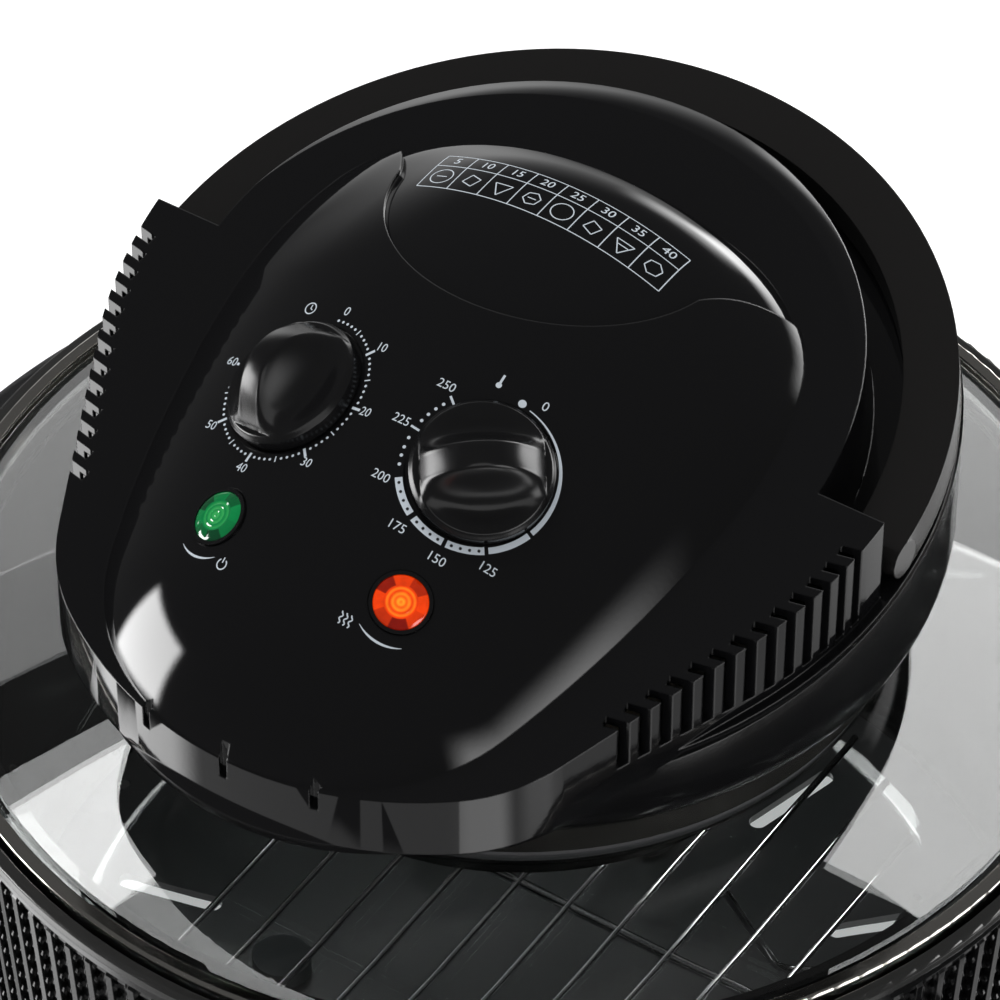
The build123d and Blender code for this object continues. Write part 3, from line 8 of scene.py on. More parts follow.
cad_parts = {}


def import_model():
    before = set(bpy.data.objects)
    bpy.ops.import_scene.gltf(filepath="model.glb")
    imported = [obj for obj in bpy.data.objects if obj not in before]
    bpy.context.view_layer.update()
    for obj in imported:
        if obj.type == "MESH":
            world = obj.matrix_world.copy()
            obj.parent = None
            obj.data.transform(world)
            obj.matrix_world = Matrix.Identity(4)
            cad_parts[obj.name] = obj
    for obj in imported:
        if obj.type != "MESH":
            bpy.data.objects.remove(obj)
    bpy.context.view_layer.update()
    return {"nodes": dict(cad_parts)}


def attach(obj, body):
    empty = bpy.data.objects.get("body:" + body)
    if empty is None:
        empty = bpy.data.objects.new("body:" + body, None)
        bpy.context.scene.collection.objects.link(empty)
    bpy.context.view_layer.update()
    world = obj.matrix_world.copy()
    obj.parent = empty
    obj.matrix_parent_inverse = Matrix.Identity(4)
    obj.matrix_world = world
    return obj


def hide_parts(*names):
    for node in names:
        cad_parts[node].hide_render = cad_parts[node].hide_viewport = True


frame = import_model()
nodes = frame["nodes"]
print("frame loaded,", len(nodes), "nodes")

mm = 0.001
rimHeight = 178.0  # table to the top of the base's trim ring
bowlY = -7.55  # the bowl's axis in the frame
dialX, dialY = 30.0, -64.6  # the two dials from the bowl's axis, the timer at -X
lampX, lampY = 29.2, -101.5


def at(x, y, z):  # plan from the bowl's axis, height above the rim, all in mm
    return Vector((x, y + bowlY, z + rimHeight)) * mm


def addMesh(name, points, faces, material, body, smooth=40):
    mesh = bpy.data.meshes.new(name)
    mesh.from_pydata([tuple(p) for p in points], [], faces)
    mesh.validate()
    piece = bpy.data.objects.new(name, mesh)
    bpy.context.scene.collection.objects.link(piece)
    mesh.materials.append(material)
    tidyNormals(piece, smooth)
    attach(piece, body)
    return piece


def tidyNormals(piece, smooth, turnOut=True):
    shape = bmesh.new()
    shape.from_mesh(piece.data)
    if turnOut:
        bmesh.ops.recalc_face_normals(shape, faces=shape.faces)
    for face in shape.faces:
        face.smooth = True
    limit = math.radians(smooth)
    for edge in shape.edges:
        edge.smooth = len(edge.link_faces) == 2 and edge.calc_face_angle(0) < limit
    shape.to_mesh(piece.data)
    shape.free()


def newMaterial(name):
    material = bpy.data.materials.new(name)
    material.use_nodes = True
    tree = material.node_tree
    tree.nodes.clear()
    out = tree.nodes.new("ShaderNodeOutputMaterial")
    return material, tree, out


def finish(name, colour, rough, peel=0.02, peelScale=900, edge=0.0, metallic=0.0, spread=0.25, specular=0.5):
    material, tree, out = newMaterial(name)
    shader = tree.nodes.new("ShaderNodeBsdfPrincipled")
    shader.inputs["Base Color"].default_value = (*colour, 1)
    shader.inputs["Metallic"].default_value = metallic
    shader.inputs["Specular IOR Level"].default_value = specular
    place = tree.nodes.new("ShaderNodeTexCoord")
    cloud = tree.nodes.new("ShaderNodeTexNoise")
    cloud.inputs["Scale"].default_value = 60
    cloud.inputs["Detail"].default_value = 5
    tree.links.new(place.outputs["Object"], cloud.inputs["Vector"])
    level = tree.nodes.new("ShaderNodeMapRange")
    level.inputs["To Min"].default_value = rough * (1 - spread)
    level.inputs["To Max"].default_value = rough * (1 + spread)
    tree.links.new(cloud.outputs["Fac"], level.inputs["Value"])
    tree.links.new(level.outputs["Result"], shader.inputs["Roughness"])
    grain = tree.nodes.new("ShaderNodeTexNoise")
    grain.inputs["Scale"].default_value = peelScale
    grain.inputs["Detail"].default_value = 3
    tree.links.new(place.outputs["Object"], grain.inputs["Vector"])
    bump = tree.nodes.new("ShaderNodeBump")
    bump.inputs["Strength"].default_value = peel
    bump.inputs["Distance"].default_value = 0.0004
    tree.links.new(grain.outputs["Fac"], bump.inputs["Height"])
    if edge > 0:
        soft = tree.nodes.new("ShaderNodeBevel")
        soft.samples = 6
        soft.inputs["Radius"].default_value = edge * mm
        tree.links.new(soft.outputs["Normal"], bump.inputs["Normal"])
    tree.links.new(bump.outputs["Normal"], shader.inputs["Normal"])
    tree.links.new(shader.outputs["BSDF"], out.inputs["Surface"])
    return material


def clearSheet(name, tint, rough=0.0, ior=1.5, shadow=0.85):
    material, tree, out = newMaterial(name)
    glass = tree.nodes.new("ShaderNodeBsdfPrincipled")
    glass.inputs["Base Color"].default_value = (*tint, 1)
    glass.inputs["Roughness"].default_value = rough
    glass.inputs["IOR"].default_value = ior
    glass.inputs["Transmission Weight"].default_value = 1
    through = tree.nodes.new("ShaderNodeBsdfTransparent")
    through.inputs["Color"].default_value = (*[c * shadow for c in tint], 1)
    rays = tree.nodes.new("ShaderNodeLightPath")
    either = tree.nodes.new("ShaderNodeMath")
    either.operation = "MAXIMUM"
    tree.links.new(rays.outputs["Is Shadow Ray"], either.inputs[0])
    tree.links.new(rays.outputs["Is Diffuse Ray"], either.inputs[1])
    mix = tree.nodes.new("ShaderNodeMixShader")
    tree.links.new(either.outputs["Value"], mix.inputs["Fac"])
    tree.links.new(glass.outputs["BSDF"], mix.inputs[1])
    tree.links.new(through.outputs["BSDF"], mix.inputs[2])
    tree.links.new(mix.outputs["Shader"], out.inputs["Surface"])
    return material


coverGloss = finish("coverGloss", (0.0045, 0.0045, 0.005), 0.055, peel=0.012, peelScale=700, edge=0.7)
handleGloss = finish("handleGloss", (0.0095, 0.009, 0.0088), 0.09, peel=0.015, edge=0.5)
knobGloss = finish("knobGloss", (0.006, 0.006, 0.0064), 0.23, peel=0.008, specular=0.4)
skirtGloss = finish("skirtGloss", (0.006, 0.006, 0.0065), 0.11, peel=0.03, edge=0.5)
tubGloss = finish("tubGloss", (0.006, 0.0062, 0.0065), 0.14, peel=0.04, edge=0.3)
trimGrey = finish("trimGrey", (0.055, 0.055, 0.054), 0.22, peel=0.03, edge=0.4, metallic=0.55)
gripGrain = finish("gripGrain", (0.012, 0.012, 0.013), 0.42, peel=0.35, peelScale=1600, edge=0.6)
bandSteel = finish("bandSteel", (0.66, 0.64, 0.6), 0.12, peel=0.02, metallic=1, edge=0.4)
collarSteel = finish("collarSteel", (0.5, 0.49, 0.46), 0.2, peel=0.04, metallic=1, edge=0.3)
chromeWire = finish("chromeWire", (0.78, 0.78, 0.79), 0.06, peel=0.01, metallic=1)
guardSteel = finish("guardSteel", (0.6, 0.6, 0.6), 0.16, peel=0.03, metallic=1)
rolledAluminium = finish("rolledAluminium", (0.8, 0.8, 0.8), 0.24, peel=0.08, peelScale=300, metallic=1)
zincSteel = finish("zincSteel", (0.55, 0.55, 0.53), 0.3, peel=0.12, peelScale=500, metallic=1)
motorLacquer = finish("motorLacquer", (0.22, 0.23, 0.24), 0.4, peel=0.2)
glazedCeramic = finish("glazedCeramic", (0.78, 0.75, 0.69), 0.35, peel=0.1)
mineralWool = finish("mineralWool", (0.66, 0.62, 0.5), 0.9, peel=0.9, peelScale=400)
siliconeGrey = finish("siliconeGrey", (0.12, 0.12, 0.125), 0.5, peel=0.2)
footRubber = finish("footRubber", (0.015, 0.015, 0.015), 0.7, peel=0.3)
phenolic = finish("phenolic", (0.025, 0.025, 0.027), 0.35, peel=0.1)
nylonCream = finish("nylonCream", (0.68, 0.65, 0.56), 0.4, peel=0.1)
clearGlass = clearSheet("clearGlass", (0.955, 0.97, 0.965))
bowlGlass = clearSheet("bowlGlass", (0.94, 0.965, 0.96))
quartzGlass = clearSheet("quartzGlass", (0.95, 0.93, 0.9), rough=0.08)

nodeFinish = {
    "base_shell": tubGloss, "base_trim_ring": trimGrey, "bowl_seat_gasket": siliconeGrey,
    "side_handle_right": gripGrain, "side_handle_left": gripGrain, "hinge_bracket": zincSteel,
    "hinge_pin": zincSteel, "lattice_sleeve": tubGloss, "base_floor": phenolic, "bowl_pads": siliconeGrey,
    "rubber_feet": footRubber, "floor_screws": zincSteel, "glass_bowl": bowlGlass, "wire_rack": chromeWire,
    "lid_glass": clearGlass, "lid_rim_band": bandSteel, "hinge_leaf": zincSteel,
    "collar_gasket": siliconeGrey,
    "steel_collar": collarSteel, "reflector_gasket": siliconeGrey, "reflector": rolledAluminium,
    "insulation_disc": mineralWool, "halogen_tube": quartzGlass, "tube_sockets": glazedCeramic,
    "tube_clips": zincSteel, "tube_leads": siliconeGrey, "heater_guard": guardSteel,
    "upper_cover": coverGloss,
    "lower_skirt": skirtGloss, "cord_gland": phenolic, "clamp_screws": zincSteel, "cover_screws": zincSteel,
    "motor_bracket": zincSteel, "bracket_screws": zincSteel, "fan_motor": motorLacquer,
    "terminal_block": nylonCream, "timer": phenolic, "thermostat": phenolic, "lamp_bezels": knobGloss,
    "lamp_holders": phenolic, "pivot_pins": zincSteel, "safety_switch": phenolic, "carry_handle": handleGloss,
    "timer_shaft": zincSteel, "time_knob": knobGloss, "thermostat_shaft": zincSteel,
    "temperature_knob": knobGloss, "fan_shaft": zincSteel, "cooling_fan": rolledAluminium,
    "convection_fan": rolledAluminium, "switch_plunger": phenolic,
}
for nodeName, material in nodeFinish.items():
    mesh = nodes[nodeName].data
    mesh.materials.clear()
    mesh.materials.append(material)
print("finishes set")

studio = dict(fill=0.75, glossFloor=0.11, azimuth=33.56, elevation=43.76, distance=1737.4, lens=216.0,
              aimX=-28.9, aimY=32.8, aimZ=0.0)


def setCamera():
    turn, rise = math.radians(studio["azimuth"]), math.radians(studio["elevation"])
    aim = at(studio["aimX"], studio["aimY"], studio["aimZ"])
    back = Vector((math.sin(turn) * math.cos(rise), -math.cos(turn) * math.cos(rise), math.sin(rise)))
    data = bpy.data.cameras.new("photoCamera")
    data.lens = studio["lens"]
    data.sensor_width = 36
    data.clip_end = 20
    camera = bpy.data.objects.new("photoCamera", data)
    bpy.context.scene.collection.objects.link(camera)
    camera.location = aim + back * studio["distance"] * mm
    camera.rotation_euler = back.to_track_quat("Z", "Y").to_euler()
    bpy.context.scene.camera = camera


def setFloor():
    material, tree, out = newMaterial("paleFloor")
    shader = tree.nodes.new("ShaderNodeBsdfPrincipled")
    shader.inputs["Base Color"].default_value = (0.93, 0.93, 0.93, 1)
    shader.inputs["Roughness"].default_value = 0.6
    shader.inputs["Specular IOR Level"].default_value = 0.1
    shader.inputs["Emission Color"].default_value = (1, 1, 1, 1)
    shader.inputs["Emission Strength"].default_value = 0.5
    tree.links.new(shader.outputs["BSDF"], out.inputs["Surface"])
    mesh = bpy.data.meshes.new("floor")
    mesh.from_pydata([(-4, -4, 0), (4, -4, 0), (4, 4, 0), (-4, 4, 0)], [], [(0, 1, 2, 3)])
    floor = bpy.data.objects.new("floor", mesh)
    mesh.materials.append(material)
    bpy.context.scene.collection.objects.link(floor)
    floor.visible_glossy = False


# What gloss sees: azimuth from the back toward +X, elevation, their half widths and softness in
# degrees, and brightness.
glossWindows = [
    dict(azimuth=-116, across=13, elevation=-4, high=12, soft=2.0, level=15.0),
    dict(azimuth=104, across=18, elevation=4, high=13, soft=7.0, level=4.5),
    dict(azimuth=18, across=24, elevation=0, high=11, soft=4.0, level=8.0),
    dict(azimuth=-41, across=8, elevation=-8, high=18, soft=8.0, level=0.8),
    dict(azimuth=134, across=14, elevation=-44, high=8, soft=6.0, level=2.0),
    dict(azimuth=-4, across=10, elevation=12, high=6, soft=6.0, level=5.0),
    dict(azimuth=-112, across=18, elevation=-38, high=12, soft=6.0, level=4.0),
    dict(azimuth=45, across=22, elevation=-32, high=9, soft=6.0, level=3.0),
    dict(azimuth=100, across=10, elevation=-36, high=8, soft=6.0, level=3.0),
    dict(azimuth=0, across=190, elevation=-60, high=30, soft=8.0, level=0.5),
    dict(azimuth=-26, across=30, elevation=6, high=8, soft=16.0, level=1.1),
]


def mathNode(tree, operation, first, second=None, third=None):
    node = tree.nodes.new("ShaderNodeMath")
    node.operation = operation
    for slotNumber, value in enumerate((first, second, third)):
        if value is None:
            continue
        if isinstance(value, (int, float)):
            node.inputs[slotNumber].default_value = value
        else:
            tree.links.new(value, node.inputs[slotNumber])
    return node.outputs["Value"]


def edgeRamp(tree, value, reach, soft):  # 1 inside a reach and 0 outside it, with a soft edge
    ramp = tree.nodes.new("ShaderNodeMapRange")
    ramp.interpolation_type = "SMOOTHSTEP"
    ramp.inputs["From Min"].default_value = reach - soft
    ramp.inputs["From Max"].default_value = reach + soft
    ramp.inputs["To Min"].default_value = 1.0
    ramp.inputs["To Max"].default_value = 0.0
    tree.links.new(value, ramp.inputs["Value"])
    return ramp.outputs["Result"]


def setWorld():
    room = bpy.data.worlds.new("paleRoom")
    bpy.context.scene.world = room
    room.use_nodes = True
    room.cycles.sampling_method = "NONE"
    tree = room.node_tree
    tree.nodes.clear()
    out = tree.nodes.new("ShaderNodeOutputWorld")
    rays = tree.nodes.new("ShaderNodeLightPath")
    place = tree.nodes.new("ShaderNodeTexCoord")
    parts = tree.nodes.new("ShaderNodeSeparateXYZ")
    tree.links.new(place.outputs["Generated"], parts.inputs["Vector"])
    degree = 180 / math.pi
    around = mathNode(tree, "ARCTAN2", parts.outputs["X"], parts.outputs["Y"])
    azimuth = mathNode(tree, "MULTIPLY", around, degree)
    rise = mathNode(tree, "MULTIPLY", mathNode(tree, "ARCSINE", parts.outputs["Z"]), degree)
    total = mathNode(tree, "ADD", studio["glossFloor"], 0.0)
    for window in glossWindows:
        turn = mathNode(tree, "SUBTRACT", azimuth, float(window["azimuth"]))
        turn = mathNode(tree, "ABSOLUTE", mathNode(tree, "WRAP", turn, 180.0, -180.0))
        high = mathNode(tree, "ABSOLUTE", mathNode(tree, "SUBTRACT", rise, float(window["elevation"])))
        inside = mathNode(tree, "MULTIPLY", edgeRamp(tree, turn, window["across"], window["soft"]),
                          edgeRamp(tree, high, window["high"], window["soft"]))
        total = mathNode(tree, "MULTIPLY_ADD", inside, window["level"], total)
    gloss = tree.nodes.new("ShaderNodeBackground")
    tree.links.new(total, gloss.inputs["Strength"])
    plain = tree.nodes.new("ShaderNodeBackground")
    plain.inputs["Strength"].default_value = studio["fill"]
    white = tree.nodes.new("ShaderNodeBackground")
    first = tree.nodes.new("ShaderNodeMixShader")
    second = tree.nodes.new("ShaderNodeMixShader")
    tree.links.new(rays.outputs["Is Glossy Ray"], first.inputs["Fac"])
    tree.links.new(plain.outputs["Background"], first.inputs[1])
    tree.links.new(gloss.outputs["Background"], first.inputs[2])
    tree.links.new(rays.outputs["Is Camera Ray"], second.inputs["Fac"])
    tree.links.new(first.outputs["Shader"], second.inputs[1])
    tree.links.new(white.outputs["Background"], second.inputs[2])
    tree.links.new(second.outputs["Shader"], out.inputs["Surface"])


lamps = [  # azimuth, elevation, distance, width and height in m, radiance
    dict(name="keyBox", azimuth=-60, elevation=62, distance=1.3, width=0.7, height=0.7, radiance=5, only=()),
    dict(name="glassRight", azimuth=-8, elevation=48, distance=6, width=1.95, height=2.5, radiance=5.4,
         only=("lid_glass",)),
    dict(name="glassFar", azimuth=-10, elevation=30, distance=6, width=2.4, height=1.4, radiance=2.8,
         only=("lid_glass",)),
    dict(name="glassLeft", azimuth=-54, elevation=29, distance=6, width=2.0, height=1.5, radiance=1.8,
         only=("lid_glass",)),
    dict(name="glassLeftHigh", azimuth=-56, elevation=39.5, distance=6, width=1.5, height=0.75, radiance=1.5,
         only=("lid_glass",)),
    dict(name="glassCorner", azimuth=-63, elevation=54.5, distance=6, width=1.0, height=0.9, radiance=6.5,
         only=("lid_glass",)),
    dict(name="knobFront", azimuth=150, elevation=30, distance=1.5, width=1.3, height=0.9, radiance=1.0,
         only=("timer_knob_form", "thermostat_knob_form")),
]


def setLamps():
    middle = at(0, 0, 60)
    for box in lamps:
        turn, rise = math.radians(box["azimuth"]), math.radians(box["elevation"])
        out = Vector((math.sin(turn) * math.cos(rise), math.cos(turn) * math.cos(rise), math.sin(rise)))
        data = bpy.data.lights.new(box["name"], "AREA")
        data.shape = "RECTANGLE"
        data.size = box["width"]
        data.size_y = box["height"]
        data.energy = box["radiance"] * math.pi * box["width"] * box["height"]
        lamp = bpy.data.objects.new(box["name"], data)
        bpy.context.scene.collection.objects.link(lamp)
        lamp.location = middle + out * box["distance"]
        lamp.rotation_euler = out.to_track_quat("Z", "Y").to_euler()
        lamp.visible_camera = False
        if box["only"]:
            group = bpy.data.collections.new(box["name"])
            for wanted in box["only"]:
                group.objects.link(bpy.data.objects[wanted] if wanted in bpy.data.objects else nodes[wanted])
            lamp.light_linking.receiver_collection = group
        else:
            lamp.visible_glossy = False


setCamera()
setFloor()
setWorld()
bpy.context.scene.view_settings.view_transform = "Standard"
print("studio set")

bulge = dict(tilt=12.2, axisHeight=40.6, apexY=13.05, apexZ=143.5,
             radii=(48.0, 142.2, 445.0, 67.0), turns=(-68.0, 0.0, 18.15, 29.4, 74.0), backEase=1.45)
drum = dict(radius=97.9, centre=-7.3, height=100.6, tilt=12.2, rise=5.5, width=19.0)


def bulgeArcs():  # centre, radius and turn of each arc of the bulge's middle line, back to front
    radii, turns = bulge["radii"], bulge["turns"]
    centres = [(bulge["apexY"], bulge["apexZ"] - radii[0]), (bulge["apexY"], bulge["apexZ"] - radii[1])]
    for number in (2, 3):
        turn = math.radians(turns[number])
        step = radii[number - 1] - radii[number]
        last = centres[-1]
        centres.append((last[0] - step * math.sin(turn), last[1] + step * math.cos(turn)))
    return list(zip(centres, radii, turns[:-1], turns[1:]))


arcs = bulgeArcs()
leanY, leanZ = math.cos(math.radians(bulge["tilt"])), math.sin(math.radians(bulge["tilt"]))


def onBulge(x, y, z, inset=0.0, crisp=False):
    # nearest point of the bulge, its outward normal, and the distance to it
    along = y * leanY + (z - bulge["axisHeight"]) * leanZ
    upright = (z - bulge["axisHeight"]) * leanY - y * leanZ
    reach = math.hypot(x, upright) or 1e-9
    flatY = along * leanY - reach * leanZ
    flatZ = bulge["axisHeight"] + along * leanZ + reach * leanY
    best = None
    for (cy, cz), radius, low, high in arcs:
        turn = math.degrees(math.atan2(cy - flatY, flatZ - cz))
        if low - 0.01 <= turn <= high + 0.01:
            best = (cy, cz, radius)
            break
    if best is None:
        return None
    cy, cz, radius = best
    span = math.hypot(flatY - cy, flatZ - cz)
    ny, nz = (flatY - cy) / span, (flatZ - cz) / span
    away = radius - inset - span
    if crisp and radius == bulge["radii"][0]:
        back = math.atan2(-ny, nz)
        most = math.radians(-bulge["turns"][0])
        rounded = -most * (abs(back) / most) ** bulge["backEase"]
        ny, nz = -math.sin(rounded), math.cos(rounded)
    partAlong, partOut = ny * leanY + nz * leanZ, nz * leanY - ny * leanZ
    normal = Vector((partOut * x / reach, partAlong * leanY - partOut * upright / reach * leanZ,
                     partAlong * leanZ + partOut * upright / reach * leanY))
    return Vector((x, y, z)) + normal * away, normal, away


def dropOnBulge(x, y, inset=0.0):  # point of the bulge straight above a plan position, and its normal
    low, high = 60.0, 160.0
    for _ in range(40):
        z = (low + high) / 2
        found = onBulge(x, y, z, inset)
        if found is None or found[2] > 0:
            low = z
        else:
            high = z
    found = onBulge(x, y, z, inset)
    return (Vector((x, y, z)), found[1]) if found else (Vector((x, y, z)), Vector((0, 0, 1)))


def seatAt(x, y):  # origin and three axes of a place on the bulge: right, up the panel, out
    origin, out = dropOnBulge(x, y)
    right = (Vector((1, 0, 0)) - out * out.x).normalized()
    return origin, right, out.cross(right), out


def world(point):
    return (point.x * mm, (point.y + bowlY) * mm, (point.z + rimHeight) * mm)


def drumNormal(point):  # normal of the drum's rounded shoulder or its wall, if the point is on one of them
    lean = math.radians(drum["tilt"])
    py, pz = point.y - drum["centre"], point.z - drum["height"]
    flat = py * math.cos(lean) + pz * math.sin(lean)
    high = pz * math.cos(lean) - py * math.sin(lean)
    reach = math.hypot(point.x, flat) or 1e-9
    r, w, h = drum["radius"], drum["width"], drum["rise"]
    p1, p2, p3 = (r, 0.0), (r - 0.35 * w, 0.62 * h), (r - w, h)
    d = 2 * (p1[0] * (p2[1] - p3[1]) + p2[0] * (p3[1] - p1[1]) + p3[0] * (p1[1] - p2[1]))
    q = [p[0] ** 2 + p[1] ** 2 for p in (p1, p2, p3)]
    cx = (q[0] * (p2[1] - p3[1]) + q[1] * (p3[1] - p1[1]) + q[2] * (p1[1] - p2[1])) / d
    cz = (q[0] * (p3[0] - p2[0]) + q[1] * (p1[0] - p3[0]) + q[2] * (p2[0] - p1[0])) / d
    bend = math.hypot(r - cx, cz)
    outward, up = None, None
    if high < -0.05 and abs(reach - r) < 0.3:
        outward, up = 1.0, 0.0
    elif high > -0.1 and abs(math.hypot(reach - cx, high - cz) - bend) < 0.3:
        outward, up = (reach - cx) / bend, (high - cz) / bend
    if outward is None:
        return None
    ex, ey = point.x / reach, flat / reach
    return Vector((outward * ex, outward * ey * math.cos(lean) - up * math.sin(lean),
                   outward * ey * math.sin(lean) + up * math.cos(lean))).normalized()


def local(vertex):
    return Vector((vertex[0] / mm, vertex[1] / mm - bowlY, vertex[2] / mm - rimHeight))


def addCover():
    mesh = nodes["upper_cover"].data.copy()
    mesh.name = "coverForm"
    cover = bpy.data.objects.new("coverForm", mesh)
    bpy.context.scene.collection.objects.link(cover)
    tidyNormals(cover, 28, turnOut=False)
    normals = [Vector(corner.vector) for corner in mesh.corner_normals]
    places = [local(vertex.co) for vertex in mesh.vertices]
    changed = 0
    for face in mesh.polygons:
        middle = local(face.center)
        for rule in ("bulge", "field", "drum"):
            if rule == "drum":
                truth = drumNormal(middle)
                near = truth is not None
            else:
                found = onBulge(*middle, inset=0.0 if rule == "bulge" else 1.6)
                near = found is not None and abs(found[2]) < 0.35
                truth = found[1] if near else None
            if near and truth.dot(face.normal) > 0.93:
                for corner in face.loop_indices:
                    place = places[mesh.loops[corner].vertex_index]
                    if rule == "drum":
                        own = drumNormal(place)
                    else:
                        own = (onBulge(*place, crisp=True) or (0, None))[1]
                    if own is not None and own.dot(face.normal) > 0.85:
                        normals[corner] = own
                changed += 1
                break
    mesh.normals_split_custom_set([tuple(n) for n in normals])
    print("cover faces given true normals:", changed, "of", len(mesh.polygons))
    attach(cover, "lid")
    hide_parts("upper_cover")
    mesh.materials.clear()
    mesh.materials.append(coverGloss)
    return BVHTree.FromPolygons([vertex.co.copy() for vertex in mesh.vertices],
                                [tuple(face.vertices) for face in mesh.polygons])


knobForm = dict(radius=19.4, foot=-1.5, side=3.0, crown=17.6, rim=4.0, floor=3.2, bar=2.9, flank=4.2,
                length=16.6, dish=(11.0, 16.5), edge=(17.9, 20.0), archPower=0.85, barSpread=0.25,
                flankPower=1.7, hollow=0.03, hollowHalf=3.2, columns=120, rows=96)


def smooth(value, low, high):
    share = min(max((value - low) / (high - low), 0.0), 1.0)
    return share * share * (3 - 2 * share)


def knobHeight(u, v):  # height of the knob's top over its seat, u across the grip bar and v along it
    k = knobForm
    reach = math.hypot(u, v)
    dish = k["floor"] + (k["rim"] - k["floor"]) * smooth(reach, *k["dish"])
    dish -= (k["rim"] - k["side"]) * smooth(reach, *k["edge"]) * 2
    arch = max(1 - (v / k["length"]) ** 2, 0.0)
    crest = (k["crown"] - dish) * arch ** k["archPower"]
    across = max(abs(u) - k["bar"] * (1 + k["barSpread"] * (v / k["length"]) ** 2), 0.0)
    hollow = k["hollow"] * u * u * arch * (abs(u) < k["hollowHalf"])
    return dish + crest * math.exp(-((across / k["flank"]) ** k["flankPower"])) - hollow


def addKnob(name, node, x, turn, body):
    origin, right, up, out = seatAt(x, dialY)
    angle = math.radians(turn)
    along = up * math.cos(angle) + right * math.sin(angle)
    across = right * math.cos(angle) - up * math.sin(angle)
    k = knobForm
    columns, rows = k["columns"], k["rows"]  # lines across and along the bar, so its edges stay straight
    points, faces = [], []
    for column in range(columns + 1):
        u = -k["radius"] * math.cos(math.pi * column / columns)
        half = math.sqrt(max(k["radius"] ** 2 - u * u, 0))
        for row in range(rows + 1):
            v = -half * math.cos(math.pi * row / rows)
            points.append(world(origin + across * u + along * v + out * knobHeight(u, v)))
    for column in range(columns):
        for row in range(rows):
            a, b = column * (rows + 1) + row, (column + 1) * (rows + 1) + row
            faces.append((a, b, b + 1, a + 1))
    rim = [column * (rows + 1) for column in range(columns + 1)]
    rim += [column * (rows + 1) + rows for column in range(columns - 1, 0, -1)]
    turns = [math.pi * column / columns for column in range(columns + 1)]
    turns += [-math.pi * column / columns for column in range(columns - 1, 0, -1)]
    last = rim
    for level in (2.2, 0.4, k["foot"]):
        first = len(points)
        for turnRound in turns:
            u, v = -k["radius"] * math.cos(turnRound), -k["radius"] * math.sin(turnRound)
            points.append(world(origin + across * u + along * v + out * level))
        fresh = list(range(first, first + len(turns)))
        for j in range(len(turns)):
            nxt = (j + 1) % len(turns)
            faces.append((last[j], last[nxt], fresh[nxt], fresh[j]))
        last = fresh
    faces.append(tuple(last))
    knob = addMesh(name, points, faces, knobGloss, body, smooth=50)
    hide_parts(node)


def jewel(name, middle, rimColour, between, glow):  # faceted lamp lens, glowing from its middle outwards, with painted glints and shade in the tones of its rings and facets
    material, tree, out = newMaterial(name)
    shader = tree.nodes.new("ShaderNodeBsdfPrincipled")
    reach = tree.nodes.new("ShaderNodeAttribute")
    reach.attribute_name = "reach"
    ramp = tree.nodes.new("ShaderNodeValToRGB")
    ramp.color_ramp.elements[0].color = (*middle, 1)
    ramp.color_ramp.elements[1].color = (*rimColour, 1)
    ramp.color_ramp.elements.new(0.5).color = (*between, 1)
    tree.links.new(reach.outputs["Fac"], ramp.inputs["Fac"])
    tree.links.new(ramp.outputs["Color"], shader.inputs["Base Color"])
    tree.links.new(ramp.outputs["Color"], shader.inputs["Emission Color"])
    place = tree.nodes.new("ShaderNodeTexCoord")
    cloud = tree.nodes.new("ShaderNodeTexNoise")
    cloud.inputs["Scale"].default_value = 420
    tree.links.new(place.outputs["Object"], cloud.inputs["Vector"])
    level = tree.nodes.new("ShaderNodeMapRange")
    level.inputs["To Min"].default_value = glow * 0.45
    level.inputs["To Max"].default_value = glow * 1.55
    tree.links.new(cloud.outputs["Fac"], level.inputs["Value"])
    tree.links.new(level.outputs["Result"], shader.inputs["Emission Strength"])
    shader.inputs["Roughness"].default_value = 0.08
    shader.inputs["Coat Weight"].default_value = 1.0
    shader.inputs["Coat Roughness"].default_value = 0.03
    tree.links.new(shader.outputs["BSDF"], out.inputs["Surface"])
    return material


def addLens(name, node, x, material):
    origin, right, up, out = seatAt(x, lampY)
    rings, spokes, radius = 30, 96, 7.4
    points, faces, reaches = [], [], []
    for ring in range(rings + 1):
        share = ring / rings
        for spoke in range(spokes):
            way = 2 * math.pi * (spoke + 0.5) / spokes
            dome = 1.15 * math.sqrt(max(1 - (share * 0.995) ** 2, 0))
            grooves = 0.13 * math.cos(share * 2 * math.pi * 5) * (share < 0.62)
            petals = 0.3 * abs(math.sin(way * 4)) * (0.62 <= share < 0.93)
            height = max(dome + (grooves + petals) * (1 - share ** 6), 0.0)
            points.append(world(origin + right * (radius * share * math.cos(way))
                                + up * (radius * share * math.sin(way)) + out * height))
            # painted glints and shade: each groove ring and each facet gets a fixed lighter or darker tone of
            # the lens colour through the reach value
            paintedRingTone = 0.5 + 0.5 * math.cos(share * 2 * math.pi * 5)
            paintedFacetTone = (0.0, 0.5, 0.15, 0.65, 0.05, 0.4, 0.7, 0.2)[int(way * 4 / math.pi) % 8]
            reaches.append(min(0.5 * share + 0.3 * paintedRingTone if share < 0.62 else 0.5 + 0.7 * paintedFacetTone, 1.0))
    for spoke in range(spokes):
        way = 2 * math.pi * (spoke + 0.5) / spokes
        points.append(world(origin + right * (radius * math.cos(way)) + up * (radius * math.sin(way)) - out))
        reaches.append(1.0)
    for ring in range(rings + 1):
        for spoke in range(spokes):
            nxt = (spoke + 1) % spokes
            faces.append((ring * spokes + spoke, ring * spokes + nxt,
                          (ring + 1) * spokes + nxt, (ring + 1) * spokes + spoke))
    faces.append(tuple(range((rings + 1) * spokes, (rings + 2) * spokes)))
    lens = addMesh(name, points, faces, material, "lid", smooth=60)
    values = lens.data.attributes.new("reach", "FLOAT", "POINT")
    values.data.foreach_set("value", reaches[:len(lens.data.vertices)])
    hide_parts(node)


